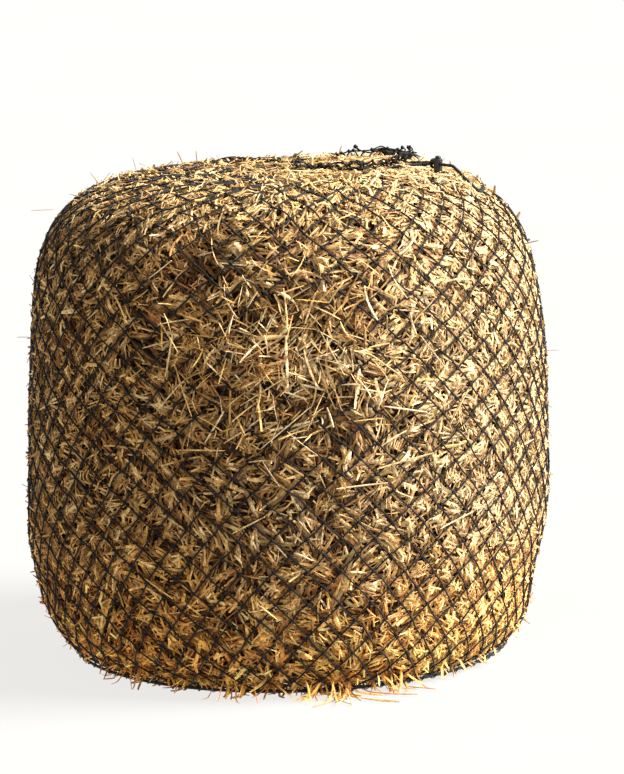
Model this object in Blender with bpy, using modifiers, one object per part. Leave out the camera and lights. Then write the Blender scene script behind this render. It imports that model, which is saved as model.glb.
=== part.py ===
"""A round hay bale in a drawstring net. Metres, +Z up. The origin is the middle of the base, on the floor.

The net is a tube of netting with a round base panel. It closes on top with a rope noose and a sprung
cord lock. Open netting is modelled here as a thin skin, and the loose meshes of the mouth as a flared collar.
"""

from math import atan2, cos, hypot, pi, radians, sin, tau

import bmesh
import bpy
from mathutils import Matrix, Vector

# Driving dimensions.
HEIGHT = 1.20  # over the netting, floor to top of dome
RADIUS = 0.645  # over the netting, at the widest
WIDEST_HEIGHT = 0.40
BASE_RADIUS = 0.475  # the flat that stands on the floor
CORNER = (0.145, 0.18)  # radii of the rounded lower edge, across and up
DOME_POWER = 4.8  # a higher power makes squarer shoulders
DOME_STEPS = 12  # points of the outline from the top down to the widest
DOME_CROWDING = 1.35  # above 1, it sets those points closer together near the widest
WAIST_STEPS = 3
CORNER_STEPS = 7
SKIN = 0.004  # thickness of the netting
GAP = 0.0003  # between pieces that touch
TURN_STEPS = 48
SEAM_HEIGHT = 0.036  # where side and base netting meet
ROPE = 0.004  # radius of the drawstring and border rope
TWINE = 0.0018  # radius of lacing twine
ROPE_SIDES = 8
TWINE_SIDES = 6
WELD = 0.00005  # points of a turned mesh this near its axis are one
SAME = 0.00001
SIDE_SEAM_ANGLE = radians(112.5)  # one of the turned steps, so the lacing lies along an edge of the skin
SIDE_SEAM_BEND = 0.30  # from the middle of the dome, where the lacing turns towards the mouth
SIDE_SEAM_END = (0.046, 0.078)

# The mouth.
MOUTH = Vector((0.18, 0.01))
NECK = (0.130, 0.092)  # outer radii of the gathered neck, along X and Y
NECK_TOP = 0.015  # above the top of the dome, where the collar starts to flare
COLLAR_HEIGHT = 0.044
# The collar's outer side from its foot, out from the neck and up from the top of the dome.
COLLAR_RISE = [(0.0, -0.030), (0.0, NECK_TOP), (0.005, 0.024), (0.013, 0.034), (0.028, COLLAR_HEIGHT)]
COLLAR_STEPS = 40
COLLAR_WALL = 0.006
COLLAR_WAVE = 0.004
MOUTH_CUTTER_DEPTH = 0.4

# The noose and its cord lock. The rope runs straight through both, along NOOSE_LINE.
LOCK_PLACE = Vector((0.385, -0.050))
NOOSE_LINE = Vector((cos(radians(-60)), sin(radians(-60))))
LOCK_RADIUS = 0.011
LOCK_HEIGHT = 0.030
LOCK_BORE = 0.0076
LOCK_FLOOR = 0.002
LOCK_EDGE = 0.0016  # of its bevels
LOCK_STANDS = 0.0030  # underside above the netting at the lock's middle, because the dome slopes
ROPE_IN_LOCK = 0.017  # rope centre above the lock's underside
ROPE_HOLE = 0.0048
HOLE_CUTTER_LENGTH = 0.04
PLUNGER_RADIUS = 0.0072
PLUNGER_FLOOR = 0.0016
PLUNGER_TOP = 0.0375  # above the lock's underside
PLUNGER_DOME = 0.003  # how far its top curves down to its edge
PLUNGER_TRAVEL = 0.004
SLIDE_TRAVEL = 0.050
SPRING_RADIUS = 0.0054
SPRING_WIRE = 0.0005
SPRING_TURNS = 3
STEPS_PER_TURN = 12
EYE_RING = 0.0097  # radius of the eye at the middle of the rope
EYE_TO_LOCK = 0.0175
EYE_TO_LOOP = 0.020
NOOSE_CLEAR = 0.0014  # between the noose and the neck
NOOSE_LIFT = 0.0008  # of the noose and the netting
NOOSE_FROM, NOOSE_TO, NOOSE_TURN = -65, -331, -9  # degrees round the neck, and the step between points
NOOSE_LEAVES = radians(30)  # where round the neck it turns off to the tail
NOOSE_BEND = 0.62  # how far along that last stretch it bends
NOOSE_RUN = 0.03  # straight part next to the eye
NOOSE_STUB = 0.008  # straight part next to the tail
WHIPPING_LENGTH = 0.012
WHIPPING_WALL = 0.0014
ROPE_SPACING = 0.018  # between points along the rope
NOOSE_SPACING = 0.016

# The spare rope, wound up behind the mouth.
COIL_PLACE = Vector((0.30, 0.33))
COIL_RADIUS = 0.044  # at the middle of the turns
COIL_WIDTH = 0.032  # four turns side by side
COIL_HEIGHT = 0.024  # three turns high
COIL_LIFT = 0.0038  # room for the tie below it
COIL_CORNER = 0.003
TIE_WIDTH = 0.010
TIE_THICK = 0.0022
TIE_ANGLE = radians(-100)
END_KNOT = 0.009
END_KNOT_ANGLE = radians(200)
COIL_ENTRY_ANGLE = radians(30)
TAIL_LIFT = 0.0012  # of the free rope and the netting
# Where the free rope lies, as X and Y, from the end of the straight stretch to the coil.
FREE_ROUTE = [
    (0.4290, -0.1270),
    (0.4420, -0.1430),
    (0.4610, -0.1490),
    (0.4790, -0.1390),
    (0.4885, -0.1180),
    (0.4930, -0.0850),
    (0.4940, -0.0400),
    (0.4910, 0.0100),
    (0.4850, 0.0600),
    (0.4720, 0.1050),
    (0.4500, 0.1550),
    (0.4310, 0.2050),
    (0.4090, 0.2550),
    (0.3850, 0.3050),
]
# How much of its height in the lock the rope keeps at the first points of that route.
ROUTE_DROP = (0.72, 0.42, 0.16)

COLLECTION = "hay_net"


# The scene and its materials.


def clear_scene():
    for obj in list(bpy.data.objects):
        bpy.data.objects.remove(obj, do_unlink=True)


def new_collection(name, hidden=False):
    collection = bpy.data.collections.new(name)
    collection.hide_render = hidden
    bpy.context.scene.collection.children.link(collection)
    return collection


def new_material(name, colour, roughness, metallic=0.0):
    material = bpy.data.materials.new(name)
    material.use_nodes = True
    shader = material.node_tree.nodes["Principled BSDF"]
    shader.inputs["Base Color"].default_value = (*colour, 1)
    shader.inputs["Roughness"].default_value = roughness
    shader.inputs["Metallic"].default_value = metallic
    material.diffuse_color = (*colour, 1)
    return material


clear_scene()
parts = new_collection(COLLECTION)
cutters = new_collection(COLLECTION + "_cutters", hidden=True)
HAY = new_material("hay", (0.55, 0.40, 0.18), 0.85)
NETTING = new_material("black_netting", (0.02, 0.02, 0.022), 0.6)
ROPE_BLACK = new_material("black_rope", (0.03, 0.03, 0.033), 0.7)
LACING = new_material("black_lacing", (0.025, 0.025, 0.028), 0.65)
LOCK_BLACK = new_material("black_plastic", (0.035, 0.035, 0.038), 0.45)
STEEL = new_material("spring_steel", (0.55, 0.55, 0.57), 0.3, 1.0)


# Shape helpers.


def add_part(name, data, material, place=(0, 0, 0), turn=0.0, parent=None):
    obj = bpy.data.objects.new(name, data)
    parts.objects.link(obj)
    obj.location = place
    obj.rotation_euler.z = turn
    obj.parent = parent
    data.materials.append(material)
    return obj


def turned_mesh(name, profile, steps=TURN_STEPS):
    """A closed mesh turned about Z from a profile of (radius, height) that runs down its outer side."""
    mesh = bpy.data.meshes.new(name + "_profile")
    points = [(radius, 0, height) for radius, height in profile]
    last = len(points) - 1
    edges = [(i, i + 1) for i in range(last)]
    if profile[0][0] > 0:
        edges.append((last, 0))
    mesh.from_pydata(points, edges, [])
    guide = bpy.data.objects.new(name + "_profile", mesh)
    cutters.objects.link(guide)
    guide.hide_render = True
    screw = guide.modifiers.new("Turn", "SCREW")
    screw.steps = screw.render_steps = steps
    screw.use_merge_vertices = True
    screw.merge_threshold = WELD
    bpy.context.view_layer.update()
    graph = bpy.context.evaluated_depsgraph_get()
    turned = bpy.data.meshes.new_from_object(guide.evaluated_get(graph))
    turned.name = name
    bpy.data.objects.remove(guide)
    shape = bmesh.new()
    shape.from_mesh(turned)
    bmesh.ops.remove_doubles(shape, verts=shape.verts, dist=SAME)
    bmesh.ops.recalc_face_normals(shape, faces=shape.faces)
    shape.to_mesh(turned)
    shape.free()
    return turned


def smooth(mesh, angle=40):
    mesh.shade_smooth()
    mesh.set_sharp_from_angle(angle=radians(angle))
    return mesh


def rope_curve(name, points, radius, rounds=2, closed=False):
    curve = bpy.data.curves.new(name, "CURVE")
    curve.dimensions = "3D"
    curve.bevel_depth = radius
    curve.bevel_resolution = rounds
    curve.use_fill_caps = True
    spline = curve.splines.new("POLY")
    spline.points.add(len(points) - 1)
    for point, where in zip(spline.points, points):
        point.co = (*where, 1)
    spline.use_cyclic_u = closed
    spline.use_smooth = True
    return curve


def smooth_route(points, spacing):
    """Evenly spaced points along a Catmull-Rom curve through the given points."""
    padded = [2 * points[0] - points[1], *points, 2 * points[-1] - points[-2]]
    per_stretch = 16
    dense = []
    for a, b, c, d in zip(padded, padded[1:], padded[2:], padded[3:]):
        slope, curve, twist = c - a, 2 * a - 5 * b + 4 * c - d, 3 * b - a - 3 * c + d
        for i in range(per_stretch):
            t = i / per_stretch
            dense.append(b + (slope * t + curve * t**2 + twist * t**3) / 2)
    dense.append(points[-1].copy())
    steps = [(q - p).length for p, q in zip(dense, dense[1:])]
    count = max(round(sum(steps) / spacing), 2)
    route, walked, i = [dense[0]], 0.0, 0
    for k in range(1, count):
        wanted = sum(steps) * k / count
        while walked + steps[i] < wanted:
            walked += steps[i]
            i += 1
        route.append(dense[i].lerp(dense[i + 1], (wanted - walked) / steps[i]))
    return [*route, dense[-1]]


def cut_from(target, cutter_mesh, name):
    cutter = bpy.data.objects.new(name, cutter_mesh)
    cutters.objects.link(cutter)
    cutter.hide_render = True
    cutter.display_type = "WIRE"
    cutter.matrix_world = target.matrix_world.copy()
    boolean = target.modifiers.new(name, "BOOLEAN")
    boolean.operation = "DIFFERENCE"
    boolean.solver = "EXACT"
    boolean.object = cutter


# The outline that the bale gives the netting.


def outline():
    """The netting's outer outline, from the middle of the top to the middle of the base."""
    points = []
    dome = HEIGHT - WIDEST_HEIGHT
    for i in range(DOME_STEPS + 1):
        t = pi / 2 * (1 - i / DOME_STEPS) ** DOME_CROWDING
        across, up = (abs(share) ** (2 / DOME_POWER) for share in (cos(t), sin(t)))
        points.append((RADIUS * across, WIDEST_HEIGHT + dome * up))
    points[0] = (0.0, HEIGHT)
    waist = BASE_RADIUS + CORNER[0]
    rise = WIDEST_HEIGHT - CORNER[1]
    for i in range(1, WAIST_STEPS + 1):
        fall = i / WAIST_STEPS
        points.append((RADIUS - (RADIUS - waist) * fall**2, WIDEST_HEIGHT - rise * fall))
    for i in range(1, CORNER_STEPS + 1):
        t = pi / 2 * i / CORNER_STEPS
        points.append((BASE_RADIUS + CORNER[0] * cos(t), CORNER[1] * (1 - sin(t))))
    points.append((0.0, 0.0))
    return points


def inset(points, depth):
    """The same outline moved inwards, along the normal at each point."""
    moved = []
    for i, (radius, height) in enumerate(points):
        before = Vector(points[max(i - 1, 0)])
        after = Vector(points[min(i + 1, len(points) - 1)])
        along = (after - before).normalized()
        if radius == 0:
            moved.append((0.0, height - depth * (1 if i == 0 else -1)))
        elif height == 0:
            moved.append((radius, depth))
        else:
            moved.append((radius + depth * along.y, height - depth * along.x))
    return moved


def dome_height(x, y):
    """The top of the netting over a point of the bale's top."""
    share = (hypot(x, y) / RADIUS) ** DOME_POWER
    return WIDEST_HEIGHT + (HEIGHT - WIDEST_HEIGHT) * (1 - share) ** (1 / DOME_POWER)


def on_dome(x, y, above):
    return Vector((x, y, dome_height(x, y) + above))


def dome_normal(x, y):
    step = 0.001
    slope_x = (dome_height(x + step, y) - dome_height(x - step, y)) / (2 * step)
    slope_y = (dome_height(x, y + step) - dome_height(x, y - step)) / (2 * step)
    return Vector((-slope_x, -slope_y, 1)).normalized()


OUTLINE = outline()
SEAM = next(i for i, (radius, height) in enumerate(OUTLINE) if height < SEAM_HEIGHT)


def seam_point(index, out):
    """A point just outside the outline at one of its points."""
    return Vector(inset(OUTLINE, -out)[index])


# The bale and the netting round it.


def make_bale():
    mesh = turned_mesh("hay_bale", inset(OUTLINE, SKIN + GAP))
    add_part("hay_bale", smooth(mesh), HAY)


def mouth_cutter_mesh():
    """An upright elliptical cylinder, slightly wider than the neck."""
    shape = bmesh.new()
    bmesh.ops.create_cone(
        shape, cap_ends=True, segments=TURN_STEPS, radius1=1, radius2=1, depth=MOUTH_CUTTER_DEPTH
    )
    room = COLLAR_WALL / 4
    bmesh.ops.scale(shape, vec=(NECK[0] + room, NECK[1] + room, 1), verts=shape.verts)
    bmesh.ops.translate(shape, vec=(MOUTH.x, MOUTH.y, HEIGHT), verts=shape.verts)
    mesh = bpy.data.meshes.new("mouth_cutter")
    shape.to_mesh(mesh)
    shape.free()
    return mesh


def make_side_netting():
    outside = OUTLINE[: SEAM + 1]
    inside = inset(OUTLINE, SKIN)[: SEAM + 1]
    mesh = turned_mesh("side_netting", outside + inside[::-1])
    netting = add_part("side_netting", smooth(mesh), NETTING)
    cut_from(netting, mouth_cutter_mesh(), "mouth_cutter")


def make_base_netting():
    inside = inset(OUTLINE, SKIN)
    # The panel stops short of the side netting, and its edge faces it.
    share = GAP / (Vector(OUTLINE[SEAM]) - Vector(OUTLINE[SEAM + 1])).length
    edge = [Vector(row[SEAM]).lerp(Vector(row[SEAM + 1]), share) for row in (inside, OUTLINE)]
    profile = inside[: SEAM : -1] + [tuple(edge[0]), tuple(edge[1])] + OUTLINE[SEAM + 1 :]
    mesh = turned_mesh("base_netting", profile)
    add_part("base_netting", smooth(mesh), NETTING)


def ring_mesh(name, centre, radius, sides, steps=TURN_STEPS):
    """A rope ring about Z whose section is centred on (radius, height)."""
    section = [
        (centre.x + radius * cos(-tau * i / sides), centre.y + radius * sin(-tau * i / sides))
        for i in range(sides)
    ]
    return turned_mesh(name, section, steps)


def make_base_rope():
    centre = seam_point(SEAM, ROPE + GAP)
    mesh = ring_mesh("base_border_rope", centre, ROPE, ROPE_SIDES)
    add_part("base_border_rope", smooth(mesh, 80), ROPE_BLACK)


def make_base_lacing():
    """The lacing lies just above the border rope, against the side netting."""
    up = (Vector(OUTLINE[SEAM - 1]) - Vector(OUTLINE[SEAM])).normalized()
    centre = seam_point(SEAM, TWINE + GAP * 2) + up * (ROPE + TWINE + GAP * 4)
    mesh = ring_mesh("base_lacing", centre, TWINE, TWINE_SIDES)
    add_part("base_lacing", smooth(mesh, 80), LACING)


def make_side_seam():
    """The lacing of the side seam climbs one meridian from the base, then crosses the dome to the mouth."""
    lift = TWINE + GAP * 2
    outer = [Vector(point) for point in inset(OUTLINE, -lift)]
    climb = [point for point in outer[1 : SEAM - 1] if point.x > SIDE_SEAM_BEND]
    foot = climb[-1].lerp(outer[SEAM - 1], 0.9)
    across = Vector((cos(SIDE_SEAM_ANGLE), sin(SIDE_SEAM_ANGLE), 0))
    bend = across * SIDE_SEAM_BEND
    crossing = [bend.lerp(Vector((*SIDE_SEAM_END, 0)), share) for share in (1, 0.67, 0.33, 0)]
    points = [on_dome(point.x, point.y, lift) for point in crossing]
    points += [across * point.x + Vector((0, 0, point.y)) for point in [*climb, foot]]
    add_part("side_seam_lacing", rope_curve("side_seam_lacing", points, TWINE), LACING)


# The mouth: collar, noose, cord lock and spare rope.


def make_collar():
    """A gathered collar: a straight neck through the drawstring, then a wavy flare."""
    outside = [(NECK[0] + out, up) for out, up in COLLAR_RISE[::-1]]
    inside = [(radius - COLLAR_WALL, up) for radius, up in outside[::-1]]
    mesh = turned_mesh("mouth_netting", outside + inside, steps=COLLAR_STEPS)
    squash = NECK[1] / NECK[0]
    for vertex in mesh.vertices:
        x, y, z = vertex.co
        around = atan2(y, x)
        share = max(z - NECK_TOP, 0) / (COLLAR_HEIGHT - NECK_TOP)
        wave = COLLAR_WAVE * share * (sin(5 * around) + 0.5 * sin(9 * around + 1))
        vertex.co = (x, y * squash, z + wave)
    mesh.transform(Matrix.Translation((MOUTH.x, MOUTH.y, HEIGHT)))
    collar = add_part("mouth_netting", smooth(mesh), NETTING)
    cut_from(collar, turned_mesh("collar_foot_cutter", inset(OUTLINE, SKIN)), "collar_foot_cutter")


LOCK_UNDERSIDE = dome_height(*LOCK_PLACE) + LOCK_STANDS
ROPE_HEIGHT = LOCK_UNDERSIDE + ROPE_IN_LOCK
LINE = Vector((NOOSE_LINE.x, NOOSE_LINE.y, 0))
LOCK_CENTRE = Vector((LOCK_PLACE.x, LOCK_PLACE.y, ROPE_HEIGHT))
EYE_CENTRE = LOCK_CENTRE - LINE * EYE_TO_LOCK
TAIL_START = EYE_CENTRE - LINE * EYE_TO_LOOP
STRAIGHT_END = LOCK_CENTRE + LINE * (SLIDE_TRAVEL + LOCK_RADIUS + ROPE)
LINE_ANGLE = atan2(LINE.y, LINE.x)
EYE_SIDE = Vector((sin(LINE_ANGLE), -cos(LINE_ANGLE), 0))


def noose_point(angle):
    """A point of the noose where it lies round the neck."""
    out = ROPE + NOOSE_CLEAR
    x = MOUTH.x + (NECK[0] + out) * cos(angle)
    y = MOUTH.y + (NECK[1] + out) * sin(angle)
    return on_dome(x, y, ROPE + NOOSE_LIFT)


def noose_start():
    """Where the noose leaves the eye, and the way it heads there."""
    front = noose_point(radians(NOOSE_FROM))
    heading = Vector((front.x - EYE_CENTRE.x, front.y - EYE_CENTRE.y, 0)).normalized()
    return EYE_CENTRE + EYE_SIDE * EYE_RING + heading * (ROPE + 2 * GAP), heading


def make_noose():
    start, heading = noose_start()
    round_neck = [noose_point(radians(angle)) for angle in range(NOOSE_FROM, NOOSE_TO, NOOSE_TURN)]
    joining = noose_point(NOOSE_LEAVES).lerp(TAIL_START, NOOSE_BEND)
    end = TAIL_START - LINE * GAP
    route = [start + heading * NOOSE_RUN, *round_neck, joining, end - LINE * NOOSE_STUB]
    points = [start, *smooth_route(route, NOOSE_SPACING), end]
    add_part("drawstring_loop", rope_curve("drawstring_loop", points, ROPE), ROPE_BLACK)


def make_eye():
    turn = Matrix.Rotation(LINE_ANGLE, 4, "Z") @ Matrix.Rotation(pi / 2, 4, "Y")
    mesh = ring_mesh("drawstring_eye", Vector((EYE_RING, 0)), ROPE, ROPE_SIDES, steps=24)
    mesh.transform(turn)
    add_part("drawstring_eye", smooth(mesh, 80), ROPE_BLACK, place=EYE_CENTRE)


def make_whipping():
    """A short sleeve of whipping twine on the noose, next to the eye."""
    start, heading = noose_start()
    half = WHIPPING_LENGTH / 2
    inner = ROPE + GAP
    outer = inner + WHIPPING_WALL
    profile = [(outer, half), (outer, -half), (inner, -half), (inner, half)]
    mesh = turned_mesh("eye_whipping", profile, steps=16)
    mesh.transform(heading.to_track_quat("Z", "Y").to_matrix().to_4x4())
    add_part("eye_whipping", smooth(mesh), LACING, place=start + heading * WHIPPING_LENGTH)


def barrel_profile():
    top, low = LOCK_HEIGHT - ROPE_IN_LOCK, -ROPE_IN_LOCK
    return [
        (LOCK_BORE, top),
        (LOCK_RADIUS - LOCK_EDGE, top),
        (LOCK_RADIUS, top - LOCK_EDGE),
        (LOCK_RADIUS, low + LOCK_EDGE),
        (LOCK_RADIUS - LOCK_EDGE, low),
        (0, low),
    ]


def rope_hole_mesh(name, lift):
    """A bar along X whose section is the rope's hole, drawn out upwards by lift."""
    shape = bmesh.new()
    bmesh.ops.create_cone(
        shape, cap_ends=True, segments=16, radius1=ROPE_HOLE, radius2=ROPE_HOLE, depth=HOLE_CUTTER_LENGTH
    )
    bmesh.ops.rotate(shape, cent=(0, 0, 0), matrix=Matrix.Rotation(pi / 2, 3, "Y"), verts=shape.verts)
    for vertex in shape.verts:
        if vertex.co.z > SAME:
            vertex.co.z += lift
    mesh = bpy.data.meshes.new(name)
    shape.to_mesh(mesh)
    shape.free()
    return mesh


def make_lock(slide_guide):
    """The cord lock's three pieces. Each has its origin on the rope's line, in the middle of the barrel."""
    floor = LOCK_FLOOR - ROPE_IN_LOCK
    profile = [(0, floor), (LOCK_BORE, floor)]
    barrel_mesh = turned_mesh("lock_barrel", profile + barrel_profile(), steps=32)
    barrel = add_part("lock_barrel", smooth(barrel_mesh), LOCK_BLACK, turn=LINE_ANGLE, parent=slide_guide)
    bpy.context.view_layer.update()
    cut_from(barrel, rope_hole_mesh("barrel_hole", 0.0), "barrel_hole")

    foot = -ROPE_HOLE - PLUNGER_FLOOR
    top = PLUNGER_TOP - ROPE_IN_LOCK
    turns = (0, radians(35), radians(65), pi / 2)
    dome = [(PLUNGER_RADIUS * sin(t), top - PLUNGER_DOME * (1 - cos(t))) for t in turns]
    plunger_profile = dome + [(PLUNGER_RADIUS, foot), (0, foot)]
    plunger_mesh = turned_mesh("lock_plunger", plunger_profile, steps=32)
    plunger = add_part("lock_plunger", smooth(plunger_mesh), LOCK_BLACK, turn=LINE_ANGLE, parent=slide_guide)
    bpy.context.view_layer.update()
    cut_from(plunger, rope_hole_mesh("plunger_slot", PLUNGER_TRAVEL), "plunger_slot")

    low, high = floor + GAP + SPRING_WIRE, foot - GAP - SPRING_WIRE
    count = STEPS_PER_TURN * SPRING_TURNS
    helix = []
    for i in range(count + 1):
        t = tau * i / STEPS_PER_TURN
        helix.append(Vector((SPRING_RADIUS * cos(t), SPRING_RADIUS * sin(t), low + (high - low) * i / count)))
    spring = rope_curve("lock_spring", helix, SPRING_WIRE)
    add_part("lock_spring", spring, STEEL, parent=slide_guide)


def coil_frame():
    """The coil's centre and the turn that lays it on the dome."""
    normal = dome_normal(*COIL_PLACE)
    centre = on_dome(*COIL_PLACE, 0) + normal * (COIL_LIFT + COIL_HEIGHT / 2)
    return centre, Vector((0, 0, 1)).rotation_difference(normal).to_matrix()


def coil_point(angle, radius, up=0.0):
    centre, turn = coil_frame()
    return centre + turn @ Vector((radius * cos(angle), radius * sin(angle), up))


def make_coil():
    centre, turn = coil_frame()
    wide, high = COIL_WIDTH / 2, COIL_HEIGHT / 2
    outer, inner = COIL_RADIUS + wide, COIL_RADIUS - wide
    section = [
        (outer - COIL_CORNER, high),
        (outer, high - COIL_CORNER),
        (outer, COIL_CORNER - high),
        (outer - COIL_CORNER, -high),
        (inner + COIL_CORNER, -high),
        (inner, COIL_CORNER - high),
        (inner, high - COIL_CORNER),
        (inner + COIL_CORNER, high),
    ]
    mesh = turned_mesh("drawstring_coil", section, steps=32)
    mesh.transform(turn.to_4x4())
    add_part("drawstring_coil", smooth(mesh), ROPE_BLACK, place=centre)


def make_coil_tie():
    """A band round the coil's section, with the coil's own play inside it."""
    centre, turn = coil_frame()
    play = 2 * GAP
    across, up = COIL_WIDTH / 2 + play, COIL_HEIGHT / 2 + play
    shape = bmesh.new()
    bmesh.ops.create_cube(shape, size=1)
    size = (2 * (across + TIE_THICK), TIE_WIDTH, 2 * (up + TIE_THICK))
    bmesh.ops.scale(shape, vec=size, verts=shape.verts)
    mesh = bpy.data.meshes.new("coil_tie")
    shape.to_mesh(mesh)
    bmesh.ops.scale(shape, vec=(across * 2 / size[0], 2, up * 2 / size[2]), verts=shape.verts)
    hole = bpy.data.meshes.new("tie_hole")
    shape.to_mesh(hole)
    shape.free()
    place = Matrix.Translation(centre) @ turn.to_4x4() @ Matrix.Rotation(TIE_ANGLE, 4, "Z")
    for solid in (mesh, hole):
        solid.transform(place @ Matrix.Translation((COIL_RADIUS, 0, 0)))
    tie = add_part("coil_tie", mesh, LACING)
    cut_from(tie, hole, "tie_hole")


def make_end_knot():
    """The stopper knot at the rope's end lies on the netting, against the coil."""
    out = COIL_RADIUS + COIL_WIDTH / 2 + END_KNOT + 3 * GAP
    place = coil_point(END_KNOT_ANGLE, out, END_KNOT + COIL_LIFT / 2 - COIL_HEIGHT / 2)
    shape = bmesh.new()
    bmesh.ops.create_uvsphere(shape, u_segments=14, v_segments=8, radius=END_KNOT)
    mesh = bpy.data.meshes.new("drawstring_end_knot")
    shape.to_mesh(mesh)
    shape.free()
    add_part("drawstring_end_knot", smooth(mesh), ROPE_BLACK, place=place)


def make_tail():
    """The free rope: straight through eye and lock, then down onto the netting and round to the coil."""
    lying = [on_dome(x, y, ROPE + TAIL_LIFT) for x, y in FREE_ROUTE]
    for point, share in zip(lying, ROUTE_DROP):
        point.z += share * (ROPE_HEIGHT - point.z)
    beside = COIL_RADIUS + COIL_WIDTH / 2 + ROPE + GAP
    end = coil_point(COIL_ENTRY_ANGLE, beside, ROPE - COIL_HEIGHT / 2)
    straight = [TAIL_START.lerp(STRAIGHT_END, i / 6) for i in range(7)]
    points = straight + smooth_route([straight[-1], *lying, end], ROPE_SPACING)[1:]
    add_part("drawstring_tail", rope_curve("drawstring_tail", points, ROPE), ROPE_BLACK)


make_bale()
make_side_netting()
make_base_netting()
make_base_rope()
make_base_lacing()
make_side_seam()
make_collar()
make_noose()
make_eye()
make_whipping()
lock_guide = bpy.data.objects.new("lock_guide", None)
parts.objects.link(lock_guide)
lock_guide.location = LOCK_CENTRE
bpy.context.view_layer.update()
make_lock(lock_guide)
make_tail()
make_coil()
make_coil_tie()
make_end_knot()
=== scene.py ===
"""A round hay bale in a drawstring net: its looks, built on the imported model. Metres, +Z up.

The frame gives the bale's outline and the cord lock. Netting, ropes and hay are made here as separate pieces.
"""

from math import atan2, cos, pi, radians, sin, tau

import bmesh
import bpy
import numpy as np
from mathutils import Matrix, Vector, kdtree


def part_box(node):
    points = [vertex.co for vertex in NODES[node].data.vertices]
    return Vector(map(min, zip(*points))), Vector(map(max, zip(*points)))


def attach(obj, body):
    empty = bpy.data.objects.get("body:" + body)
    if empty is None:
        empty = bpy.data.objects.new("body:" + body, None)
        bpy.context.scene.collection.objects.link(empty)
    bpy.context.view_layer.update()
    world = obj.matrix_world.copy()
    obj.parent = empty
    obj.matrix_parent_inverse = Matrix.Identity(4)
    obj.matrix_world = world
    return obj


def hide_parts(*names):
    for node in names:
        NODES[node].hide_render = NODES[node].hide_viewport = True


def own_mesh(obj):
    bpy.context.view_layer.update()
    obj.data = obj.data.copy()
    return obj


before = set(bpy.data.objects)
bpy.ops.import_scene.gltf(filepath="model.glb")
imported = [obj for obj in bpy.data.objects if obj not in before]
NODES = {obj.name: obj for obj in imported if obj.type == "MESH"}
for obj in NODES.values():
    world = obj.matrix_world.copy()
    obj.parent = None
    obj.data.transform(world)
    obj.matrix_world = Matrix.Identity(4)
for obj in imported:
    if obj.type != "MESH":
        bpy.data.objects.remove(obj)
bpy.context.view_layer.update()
rng = np.random.default_rng(4)

# The same sizes as in the CAD model.
SKIN = 0.0043  # from the bale's surface to the outside of the netting
ROPE = 0.004  # radius of the drawstring and border rope
GAP = 0.0003
MOUTH = np.array([0.18, 0.01])
NECK = np.array([0.130, 0.092])
NOOSE_ANGLE = radians(-60)
ROPE_IN_LOCK = 0.017
LOCK_RADIUS = 0.011
SLIDE_TRAVEL = 0.050
EYE_RING = 0.0097
EYE_TO_LOCK = 0.0175
EYE_TO_LOOP = 0.020
NOOSE_CLEAR = 0.0014  # between the noose and the neck
NOOSE_LIFT = 0.0008  # of the noose and the netting
NOOSE_FROM, NOOSE_TO, NOOSE_TURN = -65, -331, -9  # degrees round the neck, and the step between points
NOOSE_LEAVES = radians(30)  # where round the neck it turns off to the tail
NOOSE_BEND = 0.62  # how far along that last stretch it bends
NOOSE_RUN = 0.03  # straight part next to the eye
NOOSE_STUB = 0.008  # straight part next to the tail
TAIL_LIFT = 0.0012  # of the free rope and the netting
COIL_PLACE = (0.30, 0.33)
COIL_RADIUS = 0.044
COIL_WIDTH = 0.032
COIL_HEIGHT = 0.024
COIL_LIFT = 0.0038
COIL_ENTRY_ANGLE = radians(30)
TIE_ANGLE = radians(-100)
END_KNOT = 0.009
END_KNOT_ANGLE = radians(200)
SIDE_SEAM_ANGLE = radians(112.5)
SIDE_SEAM_BEND = 0.30
SIDE_SEAM_END = (0.046, 0.078)
# Where the free rope lies, as X and Y, from the end of its straight stretch to the coil.
FREE_ROUTE = [
    (0.4290, -0.1270),
    (0.4420, -0.1430),
    (0.4610, -0.1490),
    (0.4790, -0.1390),
    (0.4885, -0.1180),
    (0.4930, -0.0850),
    (0.4940, -0.0400),
    (0.4910, 0.0100),
    (0.4850, 0.0600),
    (0.4720, 0.1050),
    (0.4500, 0.1550),
    (0.4310, 0.2050),
    (0.4090, 0.2550),
    (0.3850, 0.3050),
]

# Ropes and lock, as only the looks need them.
ROUTE_DROP = (0.72, 0.42, 0.16)  # how much of its height in the lock the free rope keeps at its first points
ROPE_STEP = 0.0019  # between points along the modelled rope

# Netting.
BAR = 0.056  # a mesh bar, from knot to knot
TWINE = 0.0021  # radius
TWINE_LAY = 0.0042  # length of one turn of the strands in the netting's twine
LACING_LAY = 0.0032  # the same, in the lacing
COLUMNS = 96  # half meshes round the bale
ROW_SLOPE = 0.19  # the rows climb at the front by this much, and fall as much at the back
SLOPE_ANGLE = radians(-88)
NET_LEVEL = 0.55  # height of the middle row before it climbs
MIDDLE_ROW = 24  # its number, counted from the mouth
RIM_RADIUS = 0.58
OUTER_RADIUS = 0.645  # of the net, at its widest

# Hay.
POLE_HEIGHT = 0.55
FIELD_STEP = 0.009
STALKS = 46000
CHIPS = 26000  # short broken bits of stalk and leaf
DEPTH = 0.021  # of the layer of stalks
ENDS_POKING_OUT = 600
STALKS_PULLED_OUT = 380
PULLED_OUT = (-0.02, 0.84)  # X and height of the middle of the hay that is pulled out at the front
FOOT_REACH = 0.678  # from the middle, as far as hay may lie on the floor
CLUMPS = 2800  # wads of hay, in which stalks run much the same way


# Arrays and meshes.


def unit(vectors):
    return vectors / np.maximum(np.linalg.norm(vectors, axis=-1, keepdims=True), 1e-9)


def smoothstep(low, high, value):
    share = np.clip((value - low) / (high - low), 0, 1)
    return share * share * (3 - 2 * share)


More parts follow.
